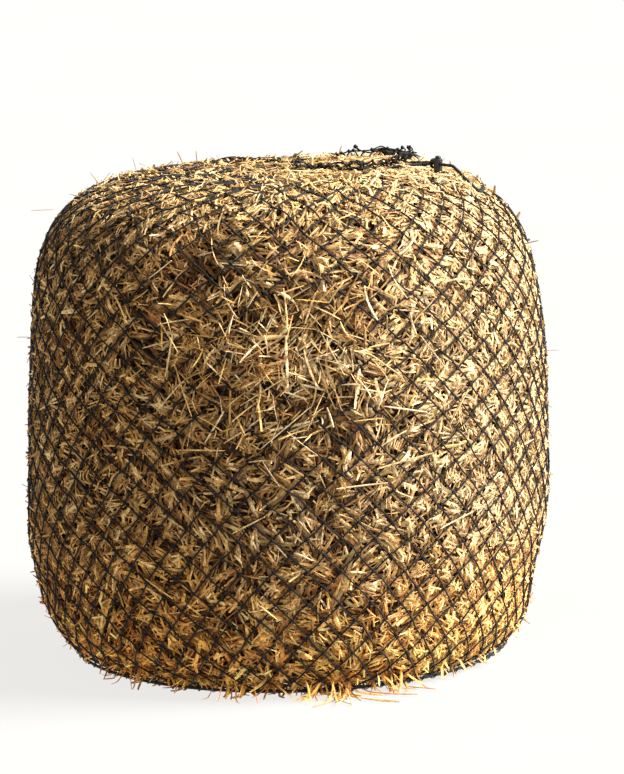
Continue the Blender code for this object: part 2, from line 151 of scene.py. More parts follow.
def walked_along(points):
    """The length walked from the first point to each of the points."""
    return np.concatenate([[0], np.cumsum(np.linalg.norm(np.diff(points, axis=0), axis=1))])


def tree_of(points):
    tree = kdtree.KDTree(len(points))
    for i, point in enumerate(points):
        tree.insert(point, i)
    tree.balance()
    return tree


def node_points(name):
    mesh = NODES[name].data
    flat = np.empty(len(mesh.vertices) * 3)
    mesh.vertices.foreach_get("co", flat)
    return flat.reshape(-1, 3)


def mesh_of(name, points, faces, attributes=()):
    """A mesh from points and a list of face arrays, each with its own number of corners."""
    mesh = bpy.data.meshes.new(name)
    mesh.vertices.add(len(points))
    mesh.vertices.foreach_set("co", np.ascontiguousarray(points, np.float32).ravel())
    loops = np.concatenate([face.ravel() for face in faces]).astype(np.int32)
    sizes = np.concatenate([np.full(len(face), face.shape[1]) for face in faces])
    mesh.loops.add(len(loops))
    mesh.loops.foreach_set("vertex_index", loops)
    mesh.polygons.add(len(sizes))
    starts = np.concatenate([[0], np.cumsum(sizes)[:-1]]).astype(np.int32)
    mesh.polygons.foreach_set("loop_start", starts)
    for label, values in attributes:
        kind = "FLOAT" if values.ndim == 1 else "FLOAT_COLOR"
        key = "value" if values.ndim == 1 else "color"
        layer = mesh.attributes.new(label, kind, "POINT")
        layer.data.foreach_set(key, np.ascontiguousarray(values, np.float32).ravel())
    mesh.update(calc_edges=True)
    mesh.shade_smooth()
    return mesh


def piece(name, mesh, material, replaces=(), body="root", sharp=None):
    obj = bpy.data.objects.new(name, mesh)
    bpy.context.scene.collection.objects.link(obj)
    mesh.materials.append(material)
    if sharp:
        mesh.set_sharp_from_angle(angle=radians(sharp))
    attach(obj, body)
    if replaces:
        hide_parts(*replaces)
    return obj


def grid_faces(row, after, column, following, width):
    """Quads between the neighbours in a grid of points that is so many points wide."""
    corners = [
        row * width + column,
        row * width + following,
        after * width + following,
        after * width + column,
    ]
    return np.stack(corners, axis=-1).reshape(-1, 4)


def tube_arrays(lines, outward, radius, sides, turn=0.0, flat=1.0):
    """Points and faces of closed tubes along lines, with a radius for each point. They may be flattened."""
    count, steps = lines.shape[:2]
    along = unit(np.gradient(lines, axis=1))
    across = unit(np.cross(along, outward))
    up = np.cross(across, along)
    radius = np.broadcast_to(np.asarray(radius, float), (count, steps))[..., None, None]
    flat = np.broadcast_to(np.asarray(flat, float), (count,))[:, None, None, None]
    angle = np.arange(sides) * tau / sides + np.broadcast_to(turn, (count,))[:, None]
    out = np.cos(angle)[:, None, :, None] * across[:, :, None]
    rise = np.sin(angle)[:, None, :, None] * up[:, :, None] * flat
    points = (lines[:, :, None] + radius * (out + rise)).reshape(-1, 3)
    base = (np.arange(count) * steps)[:, None, None]
    ring = base + np.arange(steps - 1)[None, :, None]
    corner = np.arange(sides)[None, None]
    quads = grid_faces(ring, ring + 1, corner, (corner + 1) % sides, sides)
    fan = np.array([(0, i + 1, i) for i in range(1, sides - 1)])
    starts = base * sides + fan
    ends = (base + steps - 1) * sides + fan[:, ::-1]
    return points, [quads, np.concatenate([starts, ends]).reshape(-1, 3)]


def sector_of(points, sectors):
    """Which of so many equal slices of the bale each point lies in."""
    return ((np.arctan2(points[:, 1], points[:, 0]) + pi) / tau * sectors).astype(int) % sectors


def joined(parts):
    """Several (points, faces, attributes) made one."""
    points = np.concatenate([part[0] for part in parts])
    offset = np.cumsum([0] + [len(part[0]) for part in parts[:-1]])
    faces = [face + move for part, move in zip(parts, offset) for face in part[1]]
    labels = [label for label, _ in parts[0][2]]
    attributes = [
        (label, np.concatenate([dict(part[2])[label] for part in parts])) for label in labels
    ]
    return points, faces, attributes


# The bale's surface. A place on it is an angle round the axis and an arc from the middle of the top.


def read_outline():
    """Arc, radius, height and normal along the CAD bale's outline, with its facets smoothed."""
    points = node_points("hay_bale")
    side = points[(abs(points[:, 1]) < 1e-5) & (points[:, 0] > -1e-5)]
    side = np.unique(np.round(side[:, [0, 2]], 5), axis=0)
    side[:, 0] = np.maximum(side[:, 0], 0)
    side = side[np.argsort(-np.arctan2(side[:, 1] - POLE_HEIGHT, side[:, 0]))]
    walked = walked_along(side)
    arc = np.linspace(0, walked[-1], 900)
    fine = np.stack([np.interp(arc, walked, side[:, i]) for i in (0, 1)], axis=1)
    half = 9
    window = np.ones(2 * half + 1) / (2 * half + 1)
    for _ in range(2):
        before, after = fine[half:0:-1] * (-1, 1), fine[-2 : -half - 2 : -1] * (-1, 1)
        padded = np.concatenate([before, fine, after])
        fine = np.stack([np.convolve(padded[:, i], window, "valid") for i in (0, 1)], axis=1)
    arc = walked_along(fine)
    slope = unit(np.gradient(fine, axis=0))
    return arc, fine[:, 0], fine[:, 1], -slope[:, 1], slope[:, 0]


ARC, RADII, HEIGHTS, NORMAL_R, NORMAL_Z = read_outline()
POLE_ANGLE = np.arctan2(HEIGHTS - POLE_HEIGHT, RADII)
TOP = float(HEIGHTS[0])
TOP_PART = slice(0, int(np.argmax(RADII)))  # of the outline, from the middle of the top to the widest place
BASE_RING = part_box("base_border_rope")
BASE_RING_RADIUS = BASE_RING[1].x - ROPE
BASE_RING_HEIGHT = (BASE_RING[0].z + BASE_RING[1].z) / 2
SEAM_ARC = np.interp(-BASE_RING_HEIGHT, -HEIGHTS, ARC)  # where the side netting ends
# Places where the bale stands out or in: angle, height, size round, size up, and by how much.
SETTLED = [
    (radians(183), 0.24, 0.55, 0.17, 0.010),
    (radians(0), 0.60, 0.60, 0.22, 0.009),
    (radians(-8), 0.15, 0.50, 0.12, -0.012),
    (radians(180), 0.80, 0.60, 0.20, -0.012),
    (radians(-95), 0.50, 0.70, 0.25, 0.004),
    (radians(95), 0.70, 0.80, 0.25, 0.006),
    (radians(60), 0.30, 0.50, 0.16, -0.007),
]


def settle(theta, height, radius):
    """How far the surface stands out of the turned outline. The top and the base stay as they are."""
    lumps = 0.0022 * np.sin(3 * theta + 7 * height + 0.8) + 0.0018 * np.sin(7 * theta - 9 * height)
    lumps = lumps + 0.0014 * np.sin(12 * theta + 17 * height + 2)
    for angle, level, around, up, out in SETTLED:
        turned = np.angle(np.exp(1j * (theta - angle)))
        lumps = lumps + out * np.exp(-((turned / around) ** 2) - ((height - level) / up) ** 2)
    keep = smoothstep(0.46, 0.60, radius) * smoothstep(0.03, 0.14, height)
    return lumps * keep


def surface(theta, arc, lift=0.0, settled=True):
    """Points on the bale and the way out of it there. Without settling, it is the turned outline."""
    radius, height = np.interp(arc, ARC, RADII), np.interp(arc, ARC, HEIGHTS)
    out_r, out_z = np.interp(arc, ARC, NORMAL_R), np.interp(arc, ARC, NORMAL_Z)
    normal = np.stack([out_r * np.cos(theta), out_r * np.sin(theta), out_z], axis=-1)
    points = np.stack([radius * np.cos(theta), radius * np.sin(theta), height], axis=-1)
    out = settle(theta, height, radius) if settled else np.zeros(np.shape(height))
    return points + normal * np.asarray(out + lift)[..., None], normal


def locate(points):
    theta = np.arctan2(points[..., 1], points[..., 0])
    angle = np.arctan2(points[..., 2] - POLE_HEIGHT, np.hypot(points[..., 0], points[..., 1]))
    return theta, np.interp(-angle, -POLE_ANGLE, ARC)


def draped(points, lift=0.0, settled=True):
    """Points near the turned outline, moved onto the bale."""
    return surface(*locate(points), lift, settled)


def on_top(x, y, above=0.0):
    """Points over X and Y on the netting on top of the bale."""
    radius = np.hypot(x, y)
    height = np.interp(radius, RADII[TOP_PART], HEIGHTS[TOP_PART])
    return np.stack(np.broadcast_arrays(x, y, height + SKIN + above), axis=-1)


# Materials.


class Nodes:
    """A Principled material and short ways to add nodes to it."""

    def __init__(self, name, roughness, **constants):
        self.material = bpy.data.materials.new(name)
        self.material.use_nodes = True
        self.tree = self.material.node_tree
        self.shader = self.tree.nodes["Principled BSDF"]
        self.shader.inputs["Roughness"].default_value = roughness
        for socket, value in constants.items():
            self.shader.inputs[socket.replace("_", " ")].default_value = value

    def add(self, kind, settings=(), **inputs):
        node = self.tree.nodes.new(kind)
        for label, value in dict(settings).items():
            setattr(node, label, value)
        for socket, value in inputs.items():
            numbered = socket[1:].isdigit()
            target = node.inputs[int(socket[1:]) if numbered else socket.replace("_", " ")]
            if hasattr(value, "is_output"):
                self.tree.links.new(value, target)
            else:
                target.default_value = value
        return node

    def attribute(self, name):
        return self.add("ShaderNodeAttribute", {"attribute_name": name})

    def place(self):
        return self.add("ShaderNodeTexCoord").outputs["Object"]

    def stretched(self, scale):
        return self.add("ShaderNodeMapping", Vector=self.place(), Scale=scale).outputs["Vector"]

    def noise(self, vector, scale, detail=3.0, roughness=0.6):
        return self.add(
            "ShaderNodeTexNoise", Vector=vector, Scale=scale, Detail=detail, Roughness=roughness
        ).outputs["Fac"]

    def ramp(self, value, stops, mode="LINEAR"):
        node = self.add("ShaderNodeValToRGB", Fac=value)
        ramp = node.color_ramp
        ramp.interpolation = mode
        while len(ramp.elements) < len(stops):
            ramp.elements.new(0.5)
        for element, (position, colour) in zip(ramp.elements, stops):
            element.position = position
            element.color = (*colour, 1) if len(colour) == 3 else colour
        return node.outputs["Color"]

    def mix(self, share, a, b, blend="MIX"):
        node = self.add("ShaderNodeMix", {"data_type": "RGBA", "blend_type": blend}, _0=share, _6=a, _7=b)
        return node.outputs[2]

    def math(self, operation, a, b=0.0):
        return self.add("ShaderNodeMath", {"operation": operation}, _0=a, _1=b).outputs[0]

    def colour(self, value):
        self.tree.links.new(value, self.shader.inputs["Base Color"])

    def bump(self, height, distance, strength=1.0):
        node = self.add("ShaderNodeBump", Height=height, Distance=distance, Strength=strength)
        self.tree.links.new(node.outputs["Normal"], self.shader.inputs["Normal"])


def straw_material(name):
    """Straw in each stalk's own colour, with fine streaks, and painted shade that makes it darker the deeper
    it lies.
    """
    nodes = Nodes(name, 0.64, Specular_IOR_Level=0.25)
    stalk = nodes.attribute("straw")
    streak = nodes.ramp(
        nodes.noise(nodes.place(), 380.0),
        [(0.30, (0.52, 0.46, 0.38)), (0.5, (1.0, 0.98, 0.93)), (0.68, (1.4, 1.38, 1.34))],
    )
    spots = nodes.ramp(
        nodes.noise(nodes.place(), 75.0),
        [(0.32, (0.55, 0.44, 0.33)), (0.50, (1, 1, 1)), (0.70, (1.25, 1.22, 1.15))],
    )
    # Painted shade: the fourth number of the stalk's colour darkens it, to nearly black for the deepest
    # stalks.
    depth = nodes.ramp(
        stalk.outputs["Alpha"],
        [
            (0.0, (0.03, 0.016, 0.008)),
            (0.35, (0.30, 0.20, 0.12)),
            (0.62, (0.86, 0.80, 0.72)),
            (0.85, (1, 1, 1)),
        ],
    )
    straw = nodes.mix(1.0, stalk.outputs["Color"], streak, "MULTIPLY")
    nodes.colour(nodes.mix(1.0, nodes.mix(1.0, straw, spots, "MULTIPLY"), depth, "MULTIPLY"))
    return nodes.material


def core_material():
    """Packed hay seen between the stalks, painted nearly black as shade: short dark streaks in crossing
    directions.
    """
    nodes = Nodes("packed_hay_painted_shade", 0.85, Specular_IOR_Level=0.15)
    one = nodes.noise(nodes.stretched((60, 60, 320)), 1.0, 4.0, 0.7)
    other = nodes.noise(nodes.stretched((260, 200, 45)), 1.0, 4.0, 0.7)
    both = nodes.math("MAXIMUM", one, other)
    # Painted shade: these browns are far darker than straw, as the hay between the stalks lies in shade.
    core_painted_shade = [(0.42, (0.010, 0.005, 0.0015)), (0.58, (0.050, 0.024, 0.007)), (0.76, (0.20, 0.11, 0.035))]
    nodes.colour(nodes.ramp(both, core_painted_shade))
    nodes.bump(both, 0.004, 0.8)
    return nodes.material


def twine_material(name, base, worn, pitch):
    """Twisted black fibre: strands that run round at a slant, with painted shade in the grooves between them,
    dusty where they stand out.
    """
    nodes = Nodes(name, 0.72, Sheen_Weight=0.06, Sheen_Roughness=0.5, Specular_IOR_Level=0.25)
    lay = nodes.attribute("lay").outputs["Fac"]
    twist = nodes.math("FRACT", nodes.math("MULTIPLY", lay, 1.0 / pitch))
    ridge = nodes.math("PINGPONG", twist, 0.5)
    fuzz = nodes.noise(nodes.place(), 900.0, 3.0)
    dust = nodes.noise(nodes.place(), 38.0, 3.0)
    # Painted shade: the grooves of the twist are coloured darker than the twine, and the ridges take the worn
    # colour.
    shade = nodes.math("ADD", nodes.math("MULTIPLY", ridge, 0.9), nodes.math("MULTIPLY", fuzz, 0.5))
    fibre = nodes.ramp(shade, [(0.15, tuple(0.45 * c for c in base)), (0.85, worn)])
    dusty = nodes.ramp(dust, [(0.52, (1, 1, 1)), (0.78, (2.1, 1.9, 1.6))])
    nodes.colour(nodes.mix(1.0, fibre, dusty, "MULTIPLY"))
    nodes.bump(shade, 0.0006, 0.7)
    return nodes.material


def plastic_material():
    """Moulded black plastic with a fine grain, scuffed in places."""
    nodes = Nodes("moulded_plastic", 0.42, Specular_IOR_Level=0.5)
    grain = nodes.noise(nodes.place(), 1500.0, 2.0)
    scuff = nodes.noise(nodes.stretched((90, 90, 260)), 1.0, 5.0, 0.75)
    blacks = [(0.35, (0.012, 0.012, 0.013)), (0.62, (0.022, 0.022, 0.024)), (0.75, (0.07, 0.068, 0.066))]
    nodes.colour(nodes.ramp(scuff, blacks))
    nodes.bump(nodes.math("ADD", grain, nodes.math("MULTIPLY", scuff, 0.6)), 0.00012, 0.6)
    return nodes.material


def steel_material():
    """Drawn spring wire: bright, with fine draw marks and a little tarnish."""
    nodes = Nodes("spring_steel", 0.30, Metallic=1.0)
    marks = nodes.noise(nodes.stretched((200, 200, 2600)), 1.0, 3.0)
    nodes.colour(nodes.ramp(marks, [(0.3, (0.36, 0.35, 0.34)), (0.7, (0.62, 0.61, 0.60))]))
    nodes.bump(marks, 0.00004, 0.4)
    return nodes.material


STRAW = straw_material("straw")
CORE = core_material()
NET_TWINE = twine_material("net_twine", (0.0035, 0.0032, 0.0030), (0.011, 0.010, 0.009), TWINE_LAY)
LACING_TWINE = twine_material("lacing_twine", (0.008, 0.008, 0.0085), (0.024, 0.023, 0.022), LACING_LAY)
BRAID = twine_material("braided_rope", (0.008, 0.008, 0.0085), (0.026, 0.025, 0.025), 0.0030)
PLASTIC = plastic_material()
STEEL = steel_material()


# Camera.


def place_camera():
    """A long lens from the front, a little above the bale. The bale stands left of the middle."""
    lens = bpy.data.cameras.new("camera")
    lens.lens, lens.sensor_width = 161.3, 36.0
    lens.clip_end = 200.0
    camera = bpy.data.objects.new("camera", lens)
    bpy.context.scene.collection.objects.link(camera)
    pan, pitch, roll = radians(-0.438), radians(90 - 9.745), radians(-1.27)
    camera.matrix_world = (
        Matrix.Translation((0, -8.5, 2.11))
        @ Matrix.Rotation(pan, 4, "Z")
        @ Matrix.Rotation(pitch, 4, "X")
        @ Matrix.Rotation(roll, 4, "Z")
    )
    bpy.context.scene.camera = camera


place_camera()


# Ropes.


def smooth_route(points, spacing):
    """Evenly spaced points along a Catmull-Rom curve through the given points."""
    points = np.asarray(points, float)
    padded = np.concatenate([[2 * points[0] - points[1]], points, [2 * points[-1] - points[-2]]])
    a, b, c, d = (padded[i : len(points) - 1 + i, None] for i in range(4))
    t = (np.arange(16) / 16)[None, :, None]
    curve = 2 * b + (c - a) * t + (2 * a - 5 * b + 4 * c - d) * t**2 + (3 * b - a - 3 * c + d) * t**3
    dense = np.concatenate([0.5 * curve.reshape(-1, points.shape[1]), points[-1:]])
    return evenly(dense, spacing)


def evenly(points, spacing):
    walked = walked_along(points)
    wanted = np.linspace(0, walked[-1], max(round(walked[-1] / spacing), 2) + 1)
    return np.stack([np.interp(wanted, walked, points[:, i]) for i in range(points.shape[1])], axis=1)


def carried_frames(path, closed=False):
    """A direction across the path at each point, carried along it without twisting."""
    along = unit(np.gradient(path, axis=0))
    if closed:
        along = unit(np.roll(path, -1, axis=0) - np.roll(path, 1, axis=0))
    side = np.cross(along[0], (0, 0, 1.0))
    if np.linalg.norm(side) < 0.1:
        side = np.cross(along[0], (1.0, 0, 0))
    sides = [side / np.linalg.norm(side)]
    for direction in along[1:]:
        kept = sides[-1] - direction * (sides[-1] @ direction)
        sides.append(kept / np.linalg.norm(kept))
    return along, np.array(sides)


def rope_mesh(name, path, radius, closed=False, rounds=16, strands=4, pitch=0.026, relief=0.13):
    """A braided rope along a path: two sets of strands cross over each other round it."""
    along, side = carried_frames(path, closed)
    walked = walked_along(path)
    whole = walked[-1] + (np.linalg.norm(path[0] - path[-1]) if closed else 0)
    turns = walked / whole * max(round(whole / pitch), 1)
    if closed:
        # The carried direction comes back turned by a little, which is spread along the ring.
        last = side[-1] - along[0] * (side[-1] @ along[0])
        gap = atan2(np.cross(last, side[0]) @ along[0], last @ side[0])
    else:
        gap = 0.0
    other = np.cross(along, side)
    angle = (np.arange(rounds) * tau / rounds)[None] + (walked / whole * gap)[:, None]
    plain = (np.arange(rounds) / rounds)[None] * strands
    right, left = plain + turns[:, None], plain - turns[:, None]
    height = np.abs(np.sin(pi * right) * np.sin(pi * left))
    size = radius * (1 - relief + relief * 1.25 * height)[..., None]
    ring = np.cos(angle)[..., None] * side[:, None] + np.sin(angle)[..., None] * other[:, None]
    points = (path[:, None] + size * ring).reshape(-1, 3)
    lay = (walked[:, None] + np.zeros(rounds)[None]).ravel()
    count = len(path)
    row, corner = np.meshgrid(np.arange(count if closed else count - 1), np.arange(rounds), indexing="ij")
    after, following = (row + 1) % count, (corner + 1) % rounds
    faces = [grid_faces(row, after, corner, following, rounds)]
    if not closed:
        middle = np.array([path[0] - along[0] * radius * 0.25, path[-1] + along[-1] * radius * 0.25])
        first, last = len(points), len(points) + 1
        around = np.arange(rounds)
        beyond = (around + 1) % rounds
        base = (count - 1) * rounds
        faces.append(np.stack([beyond, around, np.full(rounds, first)], axis=1))
        faces.append(np.stack([base + around, base + beyond, np.full(rounds, last)], axis=1))
        points = np.concatenate([points, middle])
        lay = np.concatenate([lay, [0, walked[-1]]])
    return mesh_of(name, points, faces, [("lay", lay)])


def joined_twines(name, groups, rounds=7):
    """Plain twine along several paths, in one mesh. Each group has its paths and its radius."""
    parts = []
    for path, radius in [(path, radius) for paths, radius in groups for path in paths]:
        outward = carried_frames(path)[1]
        points, faces = tube_arrays(path[None], outward[None], radius, rounds)
        lay = walked_along(path)[:, None] + np.arange(rounds)[None] * LACING_LAY / rounds
        parts.append((points, faces, [("lay", lay.ravel())]))
    return mesh_of(name, *joined(parts))


def twine_mesh(name, paths, radius, rounds=7):
    return joined_twines(name, [(paths, radius)], rounds)


LOCK_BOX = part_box("lock_barrel")
LINE = np.array([cos(NOOSE_ANGLE), sin(NOOSE_ANGLE), 0])
LOCK_CENTRE = np.array([*((LOCK_BOX[0] + LOCK_BOX[1]) / 2).xy, LOCK_BOX[0].z + ROPE_IN_LOCK])
EYE_CENTRE = LOCK_CENTRE - LINE * EYE_TO_LOCK
TAIL_START = EYE_CENTRE - LINE * EYE_TO_LOOP
STRAIGHT_END = LOCK_CENTRE + LINE * (SLIDE_TRAVEL + LOCK_RADIUS + ROPE)
EYE_SIDE = np.array([sin(NOOSE_ANGLE), -cos(NOOSE_ANGLE), 0])


def coil_frame():
    """The coil's centre and the turn that lays it on the netting."""
    step = 0.002
    x, y = COIL_PLACE
    slope = [
        (on_top(x + dx, y + dy)[2] - on_top(x - dx, y - dy)[2]) / (2 * step)
        for dx, dy in ((step, 0), (0, step))
    ]
    normal = Vector((-slope[0], -slope[1], 1)).normalized()
    centre = Vector(on_top(x, y)) + normal * (COIL_LIFT + COIL_HEIGHT / 2)
    return centre, Vector((0, 0, 1)).rotation_difference(normal).to_matrix()


COIL_CENTRE, COIL_TURN = coil_frame()


def coil_points(angle, radius, up):
    local = np.stack(np.broadcast_arrays(radius * np.cos(angle), radius * np.sin(angle), up), axis=-1)
    return local @ np.array(COIL_TURN).T + np.array(COIL_CENTRE)


def wound_rope():
    """The turns of the coil, from the free rope to the knot: inwards, outwards, inwards and off."""
    layer, beside = 2 * ROPE, 2 * ROPE + 0.0001
    outer = COIL_RADIUS + COIL_WIDTH / 2 + ROPE + GAP
    per_turn = 36
    # (turns, radius at the end, height at the end)
    stages = [
        (4.00, outer - 4 * beside, -layer),
        (0.30, outer - 4 * beside, 0.0),
        (3.45, outer - 0.55 * beside, 0.0),
        (0.30, outer - 0.55 * beside, layer),
        (1.80, outer - 2.2 * beside, layer),
        (0.22, outer - 1.1 * beside, 1.92 * layer),
        (0.14, outer + 0.1 * beside, 1.75 * layer),
    ]
    turn, radius, up = [0.0], [outer], [-layer]
    for turns, end_radius, end_up in stages:
        count = max(round(turns * per_turn), 3)
        share = np.arange(1, count + 1) / count
        ease = share * share * (3 - 2 * share)
        start = turn[-1], radius[-1], up[-1]
        turn += list(start[0] + turns * share)
        radius += list(start[1] + (end_radius - start[1]) * (share if turns > 1 else ease))
        up += list(start[2] + (end_up - start[2]) * ease)
    angle = COIL_ENTRY_ANGLE + tau * np.array(turn)
    return coil_points(angle, np.array(radius), np.array(up)), angle[-1]


def knot_place():
    out = COIL_RADIUS + COIL_WIDTH / 2 + END_KNOT + 3 * GAP
    return coil_points(END_KNOT_ANGLE, out, END_KNOT + COIL_LIFT / 2 - COIL_HEIGHT / 2)


def tail_path():
    lying = on_top(*np.array(FREE_ROUTE).T, ROPE + TAIL_LIFT)
    for point, share in zip(lying, ROUTE_DROP):
        point[2] += share * (LOCK_CENTRE[2] - point[2])
    straight = np.linspace(TAIL_START, STRAIGHT_END, 7)
    turns, last_angle = wound_rope()
    knot = knot_place()
    outside = COIL_RADIUS + COIL_WIDTH / 2 + ROPE + 0.003
    over = coil_points(last_angle + 0.30, outside, ROPE)
    down = coil_points(END_KNOT_ANGLE - 0.22, outside + 0.002, ROPE - COIL_HEIGHT / 2 + 0.003)
    route = [*straight, *lying, *turns, over, down, knot]
    return smooth_route(route, ROPE_STEP)


TAIL_PATH = tail_path()


def overhand(t, swing, rise):
    """An overhand knot as a closed curve about the origin, a few units across."""
    x = np.sin(t) + swing * np.sin(2 * t)
    y = np.cos(t) - swing * np.cos(2 * t)
    return np.stack([x, y, -rise * np.sin(3 * t)], axis=1)


def make_end_knot():
    """An overhand stopper knot, pulled tight."""
    centre, thickness = knot_place(), 0.0031
    arrive = unit(TAIL_PATH[-1] - TAIL_PATH[-8])
    loop = overhand(np.linspace(0, tau, 90, endpoint=False), 1.75, 1.25) * 0.0024
    turn = np.array(Vector(arrive).to_track_quat("X", "Z").to_matrix())
    path = centre + loop @ turn.T
    lowest = on_top(path[:, 0], path[:, 1])[:, 2] + 0.0030
    path[:, 2] = np.maximum(path[:, 2], lowest)
    mesh = rope_mesh("drawstring_end_knot", path, thickness, closed=True, pitch=0.02)
    return piece("drawstring_end_knot_rope", mesh, BRAID, ["drawstring_end_knot"])


def make_coil_tie():
    """Four turns of twine round the coil's section, side by side."""
    wide, high = COIL_WIDTH / 2 + 0.0024, COIL_HEIGHT / 2 + 0.0020
    turns, per_turn, wire, width = 4, 32, 0.0011, 0.0084
    t = np.arange(turns * per_turn + 1) * tau / per_turn
    power = 0.45
    across = wide * np.sign(np.cos(t)) * abs(np.cos(t)) ** power
    up = high * np.sign(np.sin(t)) * abs(np.sin(t)) ** power
    up = np.maximum(up, -COIL_HEIGHT / 2 - COIL_LIFT + 0.0016)
    along = (t / tau / turns - 0.5) * width
    rotate = np.array(Matrix.Rotation(TIE_ANGLE, 3, "Z"))
    local = np.stack([across + COIL_RADIUS, along, up], axis=1) @ rotate.T
    path = local @ np.array(COIL_TURN).T + np.array(COIL_CENTRE)
    knot = path[per_turn // 4] + overhand(np.linspace(0, tau, 40), 1.6, 1.0) * wire
    paths = [smooth_route(path, 0.0015), smooth_route(knot, 0.001)]
    mesh = twine_mesh("coil_tie_twine", paths, wire)
    return piece("coil_tie_twine", mesh, LACING_TWINE, ["coil_tie"])


def make_tail():
    mesh = rope_mesh("drawstring_tail", TAIL_PATH, ROPE)
    tail = piece("drawstring_tail_rope", mesh, BRAID, ["drawstring_tail", "drawstring_coil"])
    make_end_knot()
    make_coil_tie()


def noose_point(angle):
    """A point of the noose where it lies round the neck."""
    out = ROPE + NOOSE_CLEAR
    x = MOUTH[0] + (NECK[0] + out) * cos(angle)
    y = MOUTH[1] + (NECK[1] + out) * sin(angle)
    return on_top(x, y, ROPE + NOOSE_LIFT)


def noose_start():
    """Where the noose leaves the eye, and the way it heads there."""
    front = noose_point(radians(NOOSE_FROM))
    heading = unit(np.array([front[0] - EYE_CENTRE[0], front[1] - EYE_CENTRE[1], 0]))
    return EYE_CENTRE + EYE_SIDE * EYE_RING + heading * (ROPE + 2 * GAP), heading


def make_noose():
    start, heading = noose_start()
    round_neck = [noose_point(radians(angle)) for angle in range(NOOSE_FROM, NOOSE_TO, NOOSE_TURN)]
    joining = noose_point(NOOSE_LEAVES) * (1 - NOOSE_BEND) + TAIL_START * NOOSE_BEND
    end = TAIL_START - LINE * GAP
    route = [start, start + heading * NOOSE_RUN, *round_neck, joining, end - LINE * NOOSE_STUB, end]
    path = smooth_route(route, ROPE_STEP)
    piece("drawstring_noose", rope_mesh("drawstring_noose", path, ROPE), BRAID, ["drawstring_loop"])
    return path


def make_eye():
    t = np.linspace(0, tau, 40, endpoint=False)[:, None]
    path = EYE_CENTRE + EYE_RING * (np.cos(t) * EYE_SIDE + np.sin(t) * np.array([0, 0, 1.0]))
    mesh = rope_mesh("drawstring_eye_rope", path, ROPE * 0.98, closed=True, pitch=0.02)
    piece("drawstring_eye_rope", mesh, BRAID, ["drawstring_eye"])


def make_whipping():
    """Close turns of twine round the noose, next to the eye."""
    start, heading = noose_start()
    turns, per_turn, wire, from_eye, width = 7, 20, 0.00085, 0.012, 0.0115
    t = np.arange(turns * per_turn + 1) * tau / per_turn
    side = unit(np.cross(heading, (0, 0, 1.0)))
    rise = np.cross(side, heading)
    centre = start + heading * from_eye
    out = ROPE + wire * 0.8
    along = (t / tau / turns - 0.5) * width
    path = centre + along[:, None] * heading + out * (np.cos(t)[:, None] * side + np.sin(t)[:, None] * rise)
    mesh = twine_mesh("eye_whipping_twine", [path], wire, 6)
    piece("eye_whipping_twine", mesh, LACING_TWINE, ["eye_whipping"])


make_tail()
NOOSE_PATH = make_noose()
make_eye()
make_whipping()
for node in ("lock_barrel", "lock_plunger"):
    NODES[node].data.materials.clear()
    NODES[node].data.materials.append(PLASTIC)


def make_spring():
    """The coil spring under the plunger."""
    mesh = NODES["lock_spring"].data.copy()
    mesh.name = "lock_spring_wire"
    mesh.materials.clear()
    spring = piece("lock_spring_wire", mesh, STEEL, ["lock_spring"], "lock", sharp=60)
    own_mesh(spring)


make_spring()


# Netting.


def climb(theta):
    """How far the rows have climbed at an angle round the bale."""
    return ROW_SLOPE * np.cos(theta - SLOPE_ANGLE)


def net_paths():
    """For each half column, its way from the neck over the rim and down, and the row number along it."""
    columns = np.arange(COLUMNS) * tau / COLUMNS
    rim_arc = np.interp(RIM_RADIUS, RADII[TOP_PART], ARC[TOP_PART])
    arcs = np.linspace(rim_arc, SEAM_ARC, 260)
    height = np.interp(arcs, ARC, HEIGHTS)
    lean = 0.5 * ROW_SLOPE / RADII.max() ** 2 * np.sin(columns - SLOPE_ANGLE)
    theta = columns[:, None] + lean[:, None] * (height - NET_LEVEL)[None]
    side = surface(theta, arcs[None] + np.zeros_like(theta), settled=False)[0]
    rim = side[:, 0]
    seen_from_mouth = np.arctan2((rim[:, 1] - MOUTH[1]) / NECK[1], (rim[:, 0] - MOUTH[0]) / NECK[0])
    inner = NECK - 0.004
    ring = MOUTH + inner * np.stack([np.cos(seen_from_mouth), np.sin(seen_from_mouth)], axis=1)
    share = np.linspace(0, 1, 160)[None, :-1, None]
    chord = ring[:, None] * (1 - share) + rim[:, None, :2] * share
    top = draped(np.concatenate([chord, np.full((*chord.shape[:2], 1), TOP)], axis=2), settled=False)[0]
    paths = np.concatenate([top, side], axis=1)
    steps = np.linalg.norm(np.diff(paths, axis=1), axis=2)
    walked = np.concatenate([np.zeros((COLUMNS, 1)), np.cumsum(steps, axis=1)], axis=1)
    half_width = np.linalg.norm(np.roll(paths, -1, axis=0) - np.roll(paths, 1, axis=0), axis=2) / 2
    spacing = np.sqrt(np.maximum(BAR**2 - half_width**2, (0.35 * BAR) ** 2))
    per_metre = 1 / spacing
    counted = np.cumsum(steps * (per_metre[:, 1:] + per_metre[:, :-1]) / 2, axis=1)
    rows = np.concatenate([np.zeros((COLUMNS, 1)), counted], axis=1)
    level = NET_LEVEL + climb(columns)
    for column in range(COLUMNS):
        down = paths[column, top.shape[1] :, 2]
        there = np.interp(-level[column], -down, rows[column, top.shape[1] :])
        rows[column] += MIDDLE_ROW - there
    return paths, walked, rows


